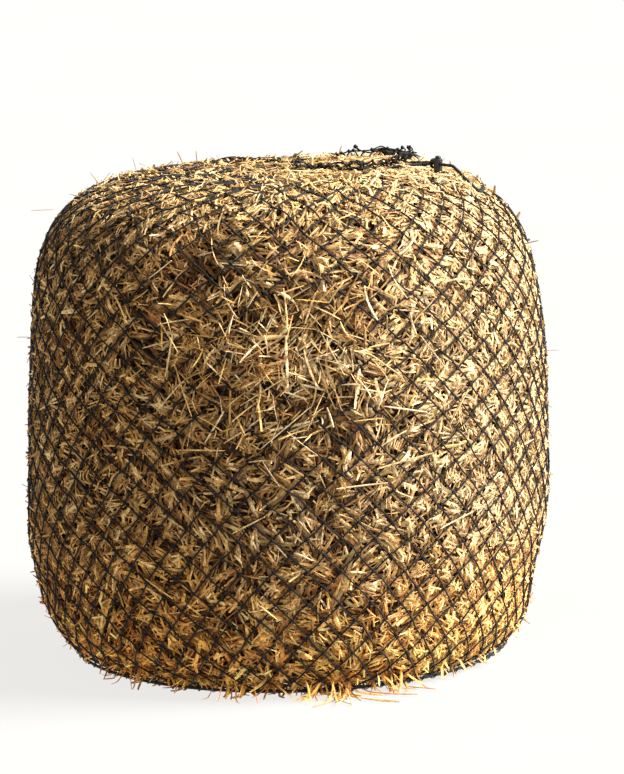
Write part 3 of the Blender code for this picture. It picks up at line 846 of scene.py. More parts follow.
def net_grid():
    """Knots and bars. A bar that runs under the noose or into the seam ends there, at a pinned point."""
    paths, walked, rows = net_paths()
    first, last = int(rows[:, 0].min()), int(rows[:, -1].max()) + 1
    number, points, pinned = {}, [], []

    def along(column, row):
        where = np.interp(row, rows[column], walked[column])
        return [np.interp(where, walked[column], paths[column, :, i]) for i in range(3)]

    for row in range(first, last + 1):
        for column in range(row % 2, COLUMNS, 2):
            if rows[column, 0] + 0.12 < row < rows[column, -1] - 0.12:
                number[row, column] = len(points)
                points.append(along(column, row))
                pinned.append(False)
    bars, lengths = [], []
    for (row, column), here in list(number.items()):
        for way in (-1, 1):
            below = number.get((row + 1, (column + way) % COLUMNS))
            if below is not None:
                bars.append((here, below))
                lengths.append(BAR)
        for step, edge in ((-1, 0), (1, -1)):
            for way in (-1, 1):
                beside = (column + way) % COLUMNS
                if (row + step, beside) in number:
                    continue
                share = np.clip(abs(row - rows[column, edge]), 0.15, 1)
                corner = paths[column, edge] * (1 - share) + paths[beside, edge] * share
                bars.append((here, len(points)))
                lengths.append(max(float(np.linalg.norm(corner - points[here])), 0.3 * BAR * share))
                points.append(corner)
                pinned.append(True)
    return np.array(points), np.array(pinned), np.array(bars), np.array(lengths)


def relaxed(points, pinned, bars, lengths, rounds=70):
    """Evens out the bars to their length, with every knot kept on the bale."""
    count = len(points)
    start, end = bars.T
    degree = np.bincount(start, minlength=count) + np.bincount(end, minlength=count)
    for _ in range(rounds):
        along = points[end] - points[start]
        size = np.linalg.norm(along, axis=1)
        push = along * (0.5 * (size - lengths) / np.maximum(size, 1e-6))[:, None]
        move = np.stack(
            [
                np.bincount(start, push[:, i], minlength=count)
                - np.bincount(end, push[:, i], minlength=count)
                for i in range(3)
            ],
            axis=1,
        )
        points = np.where(pinned[:, None], points, points + 1.6 * move / degree[:, None])
        points = draped(points, settled=False)[0]
    return points


KNOTS, PINNED, BARS, BAR_LENGTHS = net_grid()
KNOTS = relaxed(KNOTS, PINNED, BARS, BAR_LENGTHS)


def straight_bars(points, bars, share):
    return points[bars[:, 0], None] * (1 - share) + points[bars[:, 1], None] * share


def strand_lines(points, bars, lift, steps=5, sway=0.0022):
    """Each bar as a line that lies on the bale, a little off straight."""
    share = np.linspace(0, 1, steps)[None, :, None]
    lines = straight_bars(points, bars, share)
    normal = draped(lines)[1]
    across = unit(np.cross(points[bars[:, 1]] - points[bars[:, 0]], normal[:, steps // 2]))
    bow = np.sin(pi * share[..., 0]) * rng.normal(0, sway, (len(bars), 1))
    lines = lines + across[:, None] * bow[..., None]
    sink = np.sin(pi * share[..., 0]) * rng.uniform(-0.0022, 0.0012, (len(bars), 1))
    return draped(lines, lift + sink)


def knot_template():
    """A small lump about the origin, lobed like crossing turns of twine."""
    shape = bmesh.new()
    bmesh.ops.create_icosphere(shape, subdivisions=2, radius=1)
    points = np.array([vertex.co for vertex in shape.verts])
    faces = np.array([[vertex.index for vertex in face.verts] for face in shape.faces])
    shape.free()
    turned = np.arctan2(points[:, 1], points[:, 0])
    far = np.hypot(points[:, 0], points[:, 1])
    size = 1 + 0.16 * np.cos(4 * turned) * far + 0.10 * np.sin(3 * turned + 1)
    return points * size[:, None] * (0.0054, 0.0044, 0.0036), faces


def knots_at(places, normal, along):
    """The knot template at each place, a little different each time."""
    template, faces = knot_template()
    across = np.cross(normal, along)
    grow = rng.uniform(0.85, 1.2, (len(places), 1, 3))
    local = template[None] * grow
    points = (
        places[:, None]
        + local[..., :1] * along[:, None]
        + local[..., 1:2] * across[:, None]
        + local[..., 2:] * normal[:, None]
    )
    base = (np.arange(len(places)) * len(template))[:, None, None]
    lay = local[..., 0] * 0.8 + local[..., 1] * 0.6 + 0.02
    return points.reshape(-1, 3), [(faces[None] + base).reshape(-1, 3)], [("lay", lay.ravel())]


def strand_part(lines, normals, radius, sides=5):
    points, faces = tube_arrays(lines, normals, radius, sides)
    walked = np.linalg.norm(np.diff(lines, axis=1), axis=2).cumsum(axis=1)
    walked = np.concatenate([np.zeros((len(lines), 1)), walked], axis=1)
    lay = walked[..., None] + np.arange(sides) * TWINE_LAY / sides
    return points, faces, [("lay", lay.ravel())]


def knotted_piece(name, points, lines, normals, replaces):
    """One piece of netting: bars as lines, and a knot at each of the points, which come with normals."""
    radius = TWINE * rng.uniform(0.88, 1.12, (len(lines), 1))
    level = unit(np.cross(points[1], (0.02, 0.01, 1.0)))
    parts = [strand_part(lines, normals, radius), knots_at(points[0], points[1], level)]
    return piece(name, mesh_of(name, *joined(parts)), NET_TWINE, replaces)


def make_side_netting():
    """The netting round the side and over the top, cut into sectors so that no mesh is too large."""
    lines, normals = strand_lines(KNOTS, BARS, SKIN - TWINE)
    free = np.flatnonzero(~PINNED)
    places, out = draped(KNOTS[free], SKIN - TWINE * 0.9)
    sectors = 3
    bar_sector, knot_sector = sector_of(lines[:, 2], sectors), sector_of(places, sectors)
    for sector in range(sectors):
        bars, knots = bar_sector == sector, knot_sector == sector
        here = places[knots], out[knots]
        name = f"side_netting_{sector + 1}"
        knotted_piece(name, here, lines[bars], normals[bars], ["side_netting"])
    return lines


STRANDS = make_side_netting()


def make_base_netting():
    """The round panel under the bale: square meshes, cut along the seam."""
    seam = ARC[-1] - SEAM_ARC
    reach = int(seam / BAR) + 2
    number, places = {}, []
    for i in range(-reach, reach + 1):
        for j in range(-reach, reach + 1):
            if np.hypot(i, j) * BAR < seam - 0.006:
                number[i, j] = len(places)
                places.append((i * BAR, j * BAR))
    bars, count = [], len(places)
    for (i, j), here in list(number.items()):
        for di, dj in ((1, 0), (0, 1), (-1, 0), (0, -1)):
            other = number.get((i + di, j + dj))
            if other is None:
                edge = np.array([(i + di) * BAR, (j + dj) * BAR])
                start = np.array(places[here])
                # Where the bar crosses the seam's circle.
                way = edge - start
                half = start @ way / (way @ way)
                share = -half + np.sqrt(half**2 + (seam**2 - start @ start) / (way @ way))
                bars.append((here, len(places)))
                places.append(tuple(start + way * share))
            elif other > here:
                bars.append((here, other))
    places, bars = np.array(places), np.array(bars)
    share = np.linspace(0, 1, 5)[None, :, None]
    flat = straight_bars(places, bars, share)
    flat = flat + np.sin(pi * share) * rng.normal(0, 0.003, (len(bars), 1, 2))

    def under(flat_places, lift):
        distance = np.hypot(flat_places[..., 0], flat_places[..., 1])
        theta = np.arctan2(flat_places[..., 1], flat_places[..., 0])
        return surface(theta, ARC[-1] - np.minimum(distance, seam), lift)

    lines, normals = under(flat, SKIN - TWINE * 1.13)
    knots = under(places[:count], SKIN - 0.0043)
    knotted_piece("base_netting_mesh", knots, lines, normals, ["base_netting"])


def make_base_border():
    """The border rope, and the twine that laces both nettings to it."""
    count = int(tau * BASE_RING_RADIUS / 0.0021)
    t = np.arange(count)[:, None] * tau / count
    across = BASE_RING_RADIUS * np.concatenate([np.cos(t), np.sin(t)], axis=1)
    ring = np.concatenate([across, 0 * t + BASE_RING_HEIGHT], axis=1)
    mesh = rope_mesh("base_border_rope_braid", ring, ROPE * 0.98, closed=True)
    piece("base_border_rope_braid", mesh, BRAID, ["base_border_rope"])
    wraps, per_wrap = 92, 16
    turn = np.arange(wraps * per_wrap + 1) * tau / per_wrap
    theta = turn / wraps
    out = ROPE + 0.0013 + 0.0016 * (1 + np.sin(turn + 2.2)) / 2
    radius = BASE_RING_RADIUS + out * np.cos(turn) * 0.9
    height = BASE_RING_HEIGHT + 0.0022 + (out + 0.0012) * np.sin(turn)
    path = np.stack([radius * np.cos(theta), radius * np.sin(theta), height], axis=1)
    mesh = twine_mesh("base_lacing_twine", [path], 0.0012, 6)
    piece("base_lacing_twine", mesh, LACING_TWINE, ["base_lacing"])


def make_side_seam():
    """Lacing up the back: a twine wound round the two edges of the netting, from the base to the mouth."""
    lift = SKIN + 0.0022
    start = np.interp(SIDE_SEAM_BEND, RADII[TOP_PART], ARC[TOP_PART])
    foot = SEAM_ARC - 0.012
    arcs = np.linspace(start, foot, 160)
    climb_part = surface(SIDE_SEAM_ANGLE + 0 * arcs, arcs, lift)[0]
    bend = SIDE_SEAM_BEND * np.array([cos(SIDE_SEAM_ANGLE), sin(SIDE_SEAM_ANGLE)])
    share = np.linspace(0, 1, 12)[:-1, None]
    crossing = np.array(SIDE_SEAM_END) * (1 - share) + bend * share
    top = on_top(crossing[:, 0], crossing[:, 1], 0.0022)
    path = smooth_route(np.concatenate([top, climb_part[::4]]), 0.0022)
    normal = draped(path)[1]
    along = unit(np.gradient(path, axis=0))
    across = np.cross(along, normal)
    walked = np.arange(len(path)) * 0.0022
    edges = [
        path + across * side * 0.0016 + normal * (0.0006 * np.sin(walked * 90 + side))[:, None]
        for side in (-1, 1)
    ]
    turn = walked * tau / 0.017
    wound = path + across * (0.0046 * np.cos(turn))[:, None]
    wound = wound + normal * (0.0030 * np.sin(turn) + 0.0004)[:, None]
    mesh = joined_twines("side_seam_twine", [(edges, 0.0015), ([wound], 0.0012)])
    piece("side_seam_twine", mesh, LACING_TWINE, ["side_seam_lacing"])


# The meshes above the drawstring. For each row of knots: how far out of the neck, how high over the top, and
# the spread of both, where the meshes lie slack and where they are bunched.
RUFF_COLUMNS = 28
RUFF_SLACK = [(-0.0035, -0.006, 0.0), (-0.003, 0.011, 0.001), (0.012, 0.019, 0.004), (0.026, 0.017, 0.007)]
RUFF_TIGHT = [(-0.0035, -0.006, 0.0), (-0.003, 0.012, 0.001), (0.004, 0.027, 0.006), (0.010, 0.036, 0.009)]


def ruff_knots(around):
    """The rows of knots round the mouth, one after the other."""
    column = np.arange(around) * tau / around
    places = []
    for row in range(len(RUFF_SLACK)):
        angle = column + (row % 2) * tau / around / 2 + rng.normal(0, 0.02 * row, around)
        tight = smoothstep(0.55, 0.97, np.cos(angle + 0.05))
        tight = np.maximum(tight, 0.7 * smoothstep(0.2, 0.8, np.cos(angle - 1.9)))
        out, up, spread = (
            (1 - tight) * loose + tight * held for loose, held in zip(RUFF_SLACK[row], RUFF_TIGHT[row])
        )
        up = up * (1 - 0.65 * smoothstep(0.1, 0.8, -np.cos(angle)))
        wave = 0.45 * np.sin(2 * angle + 0.6) + 0.35 * np.sin(5 * angle + 2) + 0.2 * np.sin(9 * angle)
        flop = out + spread * (wave + rng.normal(0, 0.75, around))
        rise = up + spread * (0.5 * wave + rng.normal(0, 0.55, around))
        x = MOUTH[0] + (NECK[0] + flop) * np.cos(angle)
        y = MOUTH[1] + (NECK[1] + flop) * np.sin(angle)
        places.append(np.stack([x, y, TOP + SKIN + rise], axis=1))
    return np.concatenate(places)


def ruff_bars(around):
    """The knots that each bar joins, and the row it starts from."""
    bars, levels = [], []
    for row in range(len(RUFF_SLACK) - 1):
        for i in range(around):
            for way in (0, 1):
                other = (i + way) % around if row % 2 else (i - way) % around
                bars.append((row * around + i, (row + 1) * around + other))
                levels.append(row)
    return np.array(bars), np.array(levels)


def make_ruff():
    """The loose meshes above the drawstring: up through the noose, then slack loops that flop out and in."""
    places = ruff_knots(RUFF_COLUMNS)
    bars, levels = ruff_bars(RUFF_COLUMNS)
    steps = 9
    share = np.linspace(0, 1, steps)[None, :, None]
    lines = straight_bars(places, bars, share)
    chord = np.linalg.norm(places[bars[:, 1]] - places[bars[:, 0]], axis=1)
    slack = np.sqrt(np.maximum(0.375 * chord * (BAR - chord), 0)) * np.where(levels == 0, 0.0, 0.62)
    outward = unit(lines[:, steps // 2] * (1, 1, 0) - np.array([*MOUTH, 0]))
    swing = rng.normal(0, 1, (len(bars), 3)) * (0.8, 0.8, 0.45)
    bow = unit(swing + outward * rng.choice([1.0, -0.5], (len(bars), 1), p=[0.72, 0.28]) - (0, 0, 0.25))
    curl = 4 * share * (1 - share) * (1 + 0.5 * np.sin(tau * share + rng.random((len(bars), 1, 1)) * tau))
    lines = lines + curl * (bow * slack[:, None])[:, None]
    floor_height = on_top(lines[..., 0], lines[..., 1])[..., 2] - SKIN + TWINE
    lines[..., 2] = np.clip(lines[..., 2], np.where(levels == 0, -1, 1)[:, None] * floor_height, TOP + 0.050)
    normals = np.broadcast_to(outward[:, None] + (0.01, 0.02, 0.03), lines.shape)
    upper = places[RUFF_COLUMNS * 2 :]
    out = unit(upper * (1, 1, 0) - np.array([*MOUTH, 0]))
    knotted_piece("mouth_netting_ruff", (upper, out), lines, normals, ["mouth_netting"])


make_base_netting()
make_base_border()
make_side_seam()
make_ruff()


# How far the hay stands out, from the strands that press it in.


def strand_samples():
    fine = np.linspace(0, 1, 5)[None, None, :, None]
    between = STRANDS[:, :-1, None] * (1 - fine) + STRANDS[:, 1:, None] * fine
    return between.reshape(-1, 3)


def distance_field():
    """Distance to the nearest strand, and to the nearest rope, over a grid of angle and arc."""
    around = int(tau * RADII.max() / FIELD_STEP)
    down = int(ARC[-1] / FIELD_STEP)
    theta = np.arange(around) * tau / around
    arc = np.linspace(0, ARC[-1], down)
    grid = surface(theta[:, None], arc[None] + np.zeros((around, 1)))[0]
    fields = []
    ropes = np.concatenate([TAIL_PATH[::2], NOOSE_PATH[::2]])
    for samples in (strand_samples(), ropes):
        tree = tree_of(samples)
        fields.append(np.array([tree.find(point)[2] for point in grid.reshape(-1, 3)]).reshape(around, down))
    return fields


STRAND_FIELD, ROPE_FIELD = distance_field()


def read_field(field, theta, arc):
    around, down = field.shape
    x = np.mod(theta, tau) / tau * around
    y = np.clip(arc / ARC[-1] * (down - 1), 0, down - 1.001)
    i, j = np.floor(x).astype(int), np.floor(y).astype(int)
    u, v = x - i, y - j
    i, after = i % around, (i + 1) % around
    return (field[i, j] * (1 - u) + field[after, j] * u) * (1 - v) + (
        field[i, j + 1] * (1 - u) + field[after, j + 1] * u
    ) * v


# Hollows in the hay at the front, where it has been pulled out: X, height, size and depth.
HOLLOWS = [
    (-0.190, 1.035, 0.062, 0.030),
    (0.030, 1.085, 0.040, 0.018),
    (-0.080, 0.900, 0.045, 0.018),
    (0.100, 0.660, 0.065, 0.026),
    (0.020, 0.960, 0.045, 0.014),
    (-0.120, 0.700, 0.050, 0.015),
    (-0.330, 0.860, 0.045, 0.012),
    (0.200, 0.930, 0.040, 0.012),
]


def hollow(points):
    depth = np.zeros(points.shape[:-1])
    for x, height, size, deep in HOLLOWS:
        away = (points[..., 0] - x) ** 2 + (points[..., 2] - height) ** 2
        depth = depth + deep * np.exp(-away / size**2) * (points[..., 1] < 0)
    return depth


def pulled_out(points):
    """1 where the hay at the front has been pulled through the netting, and 0 away from there."""
    away = ((points[..., 0] - PULLED_OUT[0]) / 0.22) ** 2 + ((points[..., 2] - PULLED_OUT[1]) / 0.15) ** 2
    return np.exp(-away) * (points[..., 1] < 0)


def bulge(theta, arc):
    """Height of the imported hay: pressed in at the strands and ropes, standing out between them."""
    strand = smoothstep(0.000, 0.024, read_field(STRAND_FIELD, theta, arc))
    under_rope = smoothstep(0.004, 0.015, read_field(ROPE_FIELD, theta, arc))
    out = -0.0065 + 0.0165 * strand
    return out * under_rope - 0.005 * (1 - under_rope)


def make_core():
    """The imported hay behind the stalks, one closed surface."""
    around = STRAND_FIELD.shape[0] * 3 // 4
    down = STRAND_FIELD.shape[1]
    theta = (np.arange(around) * tau / around)[:, None]
    arc = np.linspace(0.004, ARC[-1] - 0.004, down)[None] + np.zeros((around, 1))
    theta = theta + np.zeros_like(arc)
    flat, normal = surface(theta, arc)
    rough = 0.0035 * np.sin(91 * theta + 133 * arc) * np.sin(57 * theta - 151 * arc)
    rough = rough + rng.normal(0, 0.0012, arc.shape)
    lift = bulge(theta, arc) - DEPTH - 0.001 + rough - hollow(flat)
    lift = np.where(normal[..., 2] < -0.9, np.minimum(lift, -0.001), lift)
    grid = (flat + normal * lift[..., None]).reshape(-1, 3)
    grid[:, 2] = np.maximum(grid[:, 2], 0.003)
    ends = np.array([[0, 0, TOP - 0.008], [0, 0, 0.004]])
    row, column = np.meshgrid(np.arange(around), np.arange(down - 1), indexing="ij")
    after = (row + 1) % around
    quads = grid_faces(row, after, column, column + 1, down)
    first = np.arange(around)
    beyond = (first + 1) % around
    top, foot = len(grid), len(grid) + 1
    caps = np.concatenate(
        [
            np.stack([first * down, beyond * down, np.full(around, top)], axis=1),
            np.stack([beyond * down + down - 1, first * down + down - 1, np.full(around, foot)], axis=1),
        ]
    )
    mesh = mesh_of("hay_core", np.concatenate([grid, ends]), [quads, caps])
    piece("hay_core", mesh, CORE, ["hay_bale"])


make_core()


# Straw colours, from the darkest to the palest, and the odd ones among them.
TONES = np.array(
    [
        (0.100, 0.045, 0.012),
        (0.215, 0.105, 0.028),
        (0.380, 0.205, 0.058),
        (0.540, 0.335, 0.115),
        (0.680, 0.475, 0.205),
        (0.800, 0.630, 0.350),
        (0.850, 0.750, 0.540),
    ]
)
RUST, OLIVE, GREY, YELLOW = (0.40, 0.150, 0.035), (0.27, 0.245, 0.085), (0.42, 0.36, 0.26), (0.86, 0.56, 0.12)


def patches(points):
    """Broad uneven patches, from -1 to 1, a hand or two across."""
    x, y, z = points[..., 0], points[..., 1], points[..., 2]
    first = np.sin(19 * x + 8 * z + 1.0) * np.sin(21 * z - 9 * x + 6 * y)
    second = np.sin(37 * x - 15 * z + 11 * y) * np.sin(31 * z + 13 * x + 2.0)
    return 0.6 * first + 0.4 * second


def straw_colours(middle, deep, clump_tone):
    """Each stalk's colour and its painted shade. Painted light makes it paler on the lit top and right,
    painted shade browner on the shaded left, and painted light from the floor makes it gold and brighter at
    the foot.
    """
    count = len(middle)
    patch = patches(middle)
    tone = rng.beta(1.25, 1.1, count) * 0.96 + 0.04 + 0.095 * clump_tone + 0.10 * patch
    high = smoothstep(0.95, 1.18, middle[:, 2])
    right = smoothstep(-0.05, 0.5, middle[:, 0])
    # Painted light: the tone is pushed paler on the top and the right, where the key light falls.
    tone += high * 0.72 * (0.80 - tone)
    tone += right * 0.74 * (0.80 - tone)
    steps = np.linspace(0, 1, len(TONES))
    colour = np.stack([np.interp(np.clip(tone, 0, 1), steps, TONES[:, i]) for i in range(3)], axis=1)
    pick = rng.random(count)
    for odd, low, high in ((RUST, 0.0, 0.09), (OLIVE, 0.09, 0.15), (GREY, 0.15, 0.23), (YELLOW, 0.23, 0.27)):
        share = np.where((pick >= low) & (pick < high), rng.uniform(0.35, 0.85, count), 0)[:, None]
        colour = colour * (1 - share) + np.array(odd) * share
    # Painted light: a paler wash, strongest on the lit right.
    painted_light_wash = 0.26 * np.maximum(high, right)[:, None]
    colour = colour * (1 - painted_light_wash) + np.array([0.76, 0.67, 0.52]) * painted_light_wash
    # Painted shade: the left, away from the key light, is made browner and a little darker.
    painted_shade_brown = (smoothstep(0.15, -0.35, middle[:, 0]) * smoothstep(1.15, 0.9, middle[:, 2]))[:, None]
    colour = colour * (1 - painted_shade_brown + painted_shade_brown * np.array([1.06, 0.95, 0.71]))
    # Painted light: the foot is made brighter and more gold, as if lit from the floor.
    painted_floor_bounce = smoothstep(0.45, 0.06, middle[:, 2])[:, None]
    colour = colour * (1 - painted_floor_bounce + painted_floor_bounce * np.array([1.5, 1.25, 0.80]))
    # Painted shade: darker the deeper a stalk lies, lifted on the lit side, and darker in the sunken patches.
    shade = np.clip(1.0 - 0.95 * (deep / DEPTH) ** 1.15, 0, 1) * rng.uniform(0.8, 1.0, count)
    shade += np.maximum(0.42 * right, 0.44 * high) * (1 - shade)
    shade *= 1 + 0.22 * np.minimum(patch, 0)
    return np.concatenate([np.clip(colour, 0, 1), shade[:, None]], axis=1)


def straw_part(lines, normals, width, flat, turn, colour, sides=3):
    """Stalks along the lines, thinner at their ends. Colour holds the painted shade as its fourth number."""
    steps = lines.shape[1]
    taper = 1 - 0.42 * abs(np.linspace(-1, 1, steps)) ** 3
    points, faces = tube_arrays(lines, normals, width[:, None] * taper[None], sides, turn, flat)
    points[:, 2] = np.maximum(points[:, 2], 0.0003)
    colour = np.broadcast_to(colour[:, None] if colour.ndim == 2 else colour, (*lines.shape[:2], 4))
    return points, faces, [("straw", np.repeat(colour.reshape(-1, 4), sides, axis=0))]


def section(count, leafy=0.3):
    """Width, flatness and turn for stalks: round stems, and wider flat blades."""
    leaf = rng.random(count) < leafy
    width = np.where(leaf, rng.uniform(0.0028, 0.0062, count), rng.uniform(0.0014, 0.0032, count))
    flat = np.where(leaf, rng.uniform(0.16, 0.30, count), rng.uniform(0.6, 1.0, count))
    turn = np.where(leaf, pi / 2 + rng.normal(0, 0.25, count), rng.random(count) * tau)
    return width, flat, turn


def random_places(count):
    weight = np.cumsum(RADII * np.gradient(ARC) * np.where(NORMAL_Z < -0.93, 0.35, 1.0))
    return rng.random(count) * tau, np.interp(rng.random(count) * weight[-1], weight, ARC)


def make_clumps():
    """Places, directions and tones of the wads of hay."""
    tree = tree_of(surface(*random_places(CLUMPS), settled=False)[0])
    return tree, rng.random(CLUMPS) * tau, rng.normal(0, 1, CLUMPS)


CLUMP_TREE, CLUMP_HEADING, CLUMP_TONE = make_clumps()


def clear_of_lock(lines):
    """Lowers the hay under the stretch of rope along which the cord lock slides."""
    along = np.clip((lines - LOCK_CENTRE) @ LINE, -LOCK_RADIUS, SLIDE_TRAVEL + LOCK_RADIUS)
    away = np.linalg.norm(((lines - LOCK_CENTRE) - along[..., None] * LINE)[..., :2], axis=-1)
    ceiling = LOCK_BOX[0].z - 0.007 + 0.9 * np.maximum(away - LOCK_RADIUS - 0.007, 0)
    lines[..., 2] = np.minimum(lines[..., 2], ceiling)
    return lines


def laid_out(count, steps, short, long):
    """Bent stalks close to the bale, and the wad that each is in. In a wad they run much the same way."""
    theta, arc = random_places(count)
    centre, normal = surface(theta, arc, settled=False)
    first = unit(np.cross(normal, (0.31, 0.27, 0.91)))
    second = np.cross(normal, first)
    clump = np.array([CLUMP_TREE.find(place)[1] for place in centre])
    stray = rng.random(count) < 0.28
    heading = CLUMP_HEADING[clump] + np.where(stray, rng.random(count) * tau, rng.normal(0, 0.34, count))
    along = np.cos(heading)[:, None] * first + np.sin(heading)[:, None] * second
    across = np.cross(normal, along)
    length = rng.uniform(short, long, count)
    t = np.linspace(-0.5, 0.5, steps)[None]
    bend = rng.normal(0, 0.09, (count, 1))
    broken = rng.random((count, 1)) < 0.22
    kink = np.where(broken, rng.normal(0, 0.55, (count, 1)), 0.03)
    kink = kink * np.abs(t - rng.uniform(-0.3, 0.3, (count, 1)))
    x = length[:, None] * t
    y = length[:, None] * (bend * (t**2 - 0.08) + kink)
    return centre[:, None] + along[:, None] * x[..., None] + across[:, None] * y[..., None], clump


def lowest_near(theta, arc, room):
    """The height of the hay round each point of a stalk, which may cross a strand between its points."""
    wraps = np.abs(theta[:, 1:] - theta[:, :-1]) > pi
    half = (theta[:, 1:] + theta[:, :-1]) / 2 + np.where(wraps, pi, 0)
    between = bulge(half, (arc[:, 1:] + arc[:, :-1]) / 2)
    lowest = room.copy()
    lowest[:, 1:] = np.minimum(lowest[:, 1:], between)
    lowest[:, :-1] = np.minimum(lowest[:, :-1], between)
    return lowest


def raised_ends(count, steps, upward):
    """How far the points of each stalk are raised. Some stalks stand up at one end, more of them on top."""
    one_end = rng.choice([-1, 1], (count, 1))
    raised = rng.random((count, 1)) < 0.25 + 0.25 * upward[:, :1]
    lifted = np.where(raised, rng.uniform(0, 0.013, (count, 1)), 0)
    t = np.linspace(-0.5, 0.5, steps)[None]
    return (2 * np.abs(t)) ** 3 * lifted * (t * one_end > 0)


def scattered(count, steps, short, long):
    """Stalks lying on the bale, tucked under the strands, with their normals and colours."""
    flat, clump = laid_out(count, steps, short, long)
    where = locate(flat)
    room = bulge(*where)
    lowest = lowest_near(*where, room)
    if steps == 2:
        lowest = np.broadcast_to(lowest.mean(axis=1, keepdims=True), lowest.shape)
        room = np.broadcast_to(room.mean(axis=1, keepdims=True), room.shape)
    base, out = surface(*where)
    loose = pulled_out(base)
    upward = smoothstep(0.72, 0.96, out[..., 2])
    deep = DEPTH * rng.random(count) ** 1.1
    ends = raised_ends(count, steps, upward)
    bunched = upward * smoothstep(0.42, 0.20, np.hypot(base[..., 0] - MOUTH[0], base[..., 1] - MOUTH[1]))
    share = 0.85 - 0.6 * np.maximum(loose, 0.4 * upward)
    lift = lowest * share + room * (1 - share) - deep[:, None] + ends
    lift = lift + loose * rng.uniform(-0.002, 0.018, (count, 1))
    lift = lift + upward * rng.uniform(-0.003, 0.007, (count, 1))
    lift = lift - hollow(base) + 0.004 * np.minimum(patches(base), 0)
    to_rope = read_field(ROPE_FIELD, *where)
    before_rope = upward * smoothstep(0.080, 0.015, to_rope) * (base[..., 1] < MOUTH[1])
    lift = lift + before_rope * rng.uniform(0.005, 0.018, (count, 1))
    lift = lift + bunched * (1 - before_rope) * rng.uniform(0.004, 0.016, (count, 1))
    under_rope = smoothstep(0.004, 0.011, to_rope)
    lift = np.where(under_rope < 0.99, np.minimum(lift, 0.002 - 0.006 * (1 - under_rope)), lift)
    lines, normals = surface(*where, lift)
    lines = clear_of_lock(lines)
    lines[..., 2] = np.maximum(lines[..., 2], 0.0028)
    # Painted shade: stalks are darkened in the creases along the strands and in the hollows, less on top,
    # where bunched and where pulled out.
    near = smoothstep(0.001, 0.016, read_field(STRAND_FIELD, *where))
    painted_crease_shade = 0.47 + 0.53 * np.maximum(near, np.maximum(0.65 * upward + 0.3 * bunched, loose))
    painted_crease_shade = painted_crease_shade * (1 - 16 * np.minimum(hollow(base), 0.045))
    colour = straw_colours(lines[:, steps // 2], deep, CLUMP_TONE[clump])
    colour = np.repeat(colour[:, None], steps, axis=1)
    colour[..., 3] *= painted_crease_shade
    return lines, normals, colour


def hay_piece(name, parts):
    piece(name, mesh_of(name, *joined(parts)), STRAW, ["hay_bale"], sharp=35)


def make_stalks():
    """Most of the hay. The kinds differ in their share, their number of points and their lengths."""
    sectors = 10
    kinds = [
        (CHIPS, 2, 0.008, 0.026, 0.8),
        (STALKS * 0.5, 3, 0.022, 0.055, 0.45),
        (STALKS * 0.38, 5, 0.045, 0.095, 0.4),
        (STALKS * 0.12, 7, 0.085, 0.165, 0.2),
    ]
    parts = [[] for _ in range(sectors)]
    for count, steps, short, long, leafy in kinds:
        lines, normals, colour = scattered(int(count), steps, short, long)
        width, flat, turn = section(len(lines), leafy)
        sector = sector_of(lines[:, 1], sectors)
        for i in range(sectors):
            here = sector == i
            parts[i].append(
                straw_part(lines[here], normals[here], width[here], flat[here], turn[here], colour[here])
            )
    for i in range(sectors):
        hay_piece(f"hay_stalks_{i + 1}", parts[i])


make_stalks()


def reaching(starts, direction, length, curl, droop, steps=6):
    """Stalks that reach out from a start, curling sideways and drooping, and stay off the floor."""
    t = np.linspace(0, 1, steps)[None, :, None]
    direction = unit(direction)
    across = unit(np.cross(direction, (0.02, 0.03, 1.0)))
    length, curl, droop = (np.asarray(value, float).reshape(-1, 1, 1) for value in (length, curl, droop))
    lines = starts[:, None] + length * (direction[:, None] * t + across[:, None] * curl * t**2)
    lines = lines - length * droop * t**2 * np.array([0, 0, 1.0])
    lines[..., 2] = np.maximum(lines[..., 2], 0.003)
    normals = np.broadcast_to(unit(np.cross(across, direction))[:, None] + 0.001, lines.shape)
    return lines, normals


def above_bale(lines):
    """How high each point of the lines stands over the bale, and the way out of it there."""
    base, out = surface(*locate(lines), 0.0)
    return ((lines - base) * out).sum(axis=2), out


def stray_part(lines, normals, tone, leafy=0.3, thin=1.0, shade=1.0):
    """Single stalks, paler or darker by tone, in full light or in some shade."""
    count = len(lines)
    width, flat, turn = section(count, leafy)
    colour = straw_colours(lines[:, 0], rng.uniform(0, 0.2, count) * DEPTH, np.full(count, tone))
    colour[:, 3] *= shade
    return straw_part(lines, normals, width * thin, flat, turn, colour)


def poking_out():
    """Stalk ends that stick out through the meshes, all over."""
    theta, arc = random_places(ENDS_POKING_OUT)
    starts, normal = surface(theta, arc, -0.006)
    tangent = unit(np.cross(normal, rng.normal(0, 1, normal.shape)))
    clear = (read_field(ROPE_FIELD, theta, arc) > 0.040) & (normal[:, 2] > -0.5)
    starts, normal, tangent = starts[clear], normal[clear], tangent[clear]
    count = len(starts)
    out = rng.uniform(0.25, 0.95, (count, 1))
    lines, normals = reaching(
        starts, normal * out + tangent, rng.uniform(0.012, 0.034, count), rng.normal(0, 0.25, count), 0.1
    )
    return stray_part(lines, normals, 0.3, 0.25, 0.8)


def pulled_through():
    """Hay pulled out at the front, lying over the netting in every direction."""
    count = STALKS_PULLED_OUT
    x, height = rng.normal(PULLED_OUT[0], 0.145, count), rng.normal(PULLED_OUT[1], 0.115, count)
    theta = -pi / 2 + np.arcsin(np.clip(x / OUTER_RADIUS, -0.9, 0.9))
    arc = np.interp(-height, -HEIGHTS, ARC)
    starts, normal = surface(theta, arc, rng.uniform(0.000, 0.012, count))
    starts = starts - normal * hollow(starts)[:, None]
    tangent = unit(np.cross(normal, rng.normal(0, 1, normal.shape)))
    out = rng.uniform(0.0, 0.22, (count, 1))
    lines, normals = reaching(
        starts, normal * out + tangent, rng.uniform(0.02, 0.085, count), rng.normal(0, 0.5, count), 0.05
    )
    height_now, away = above_bale(lines)
    push = np.clip(0.003 - height_now, 0, None) + np.clip(0.028 - height_now, None, 0)
    return stray_part(lines + push[..., None] * away, normals, 0.7, 0.35)


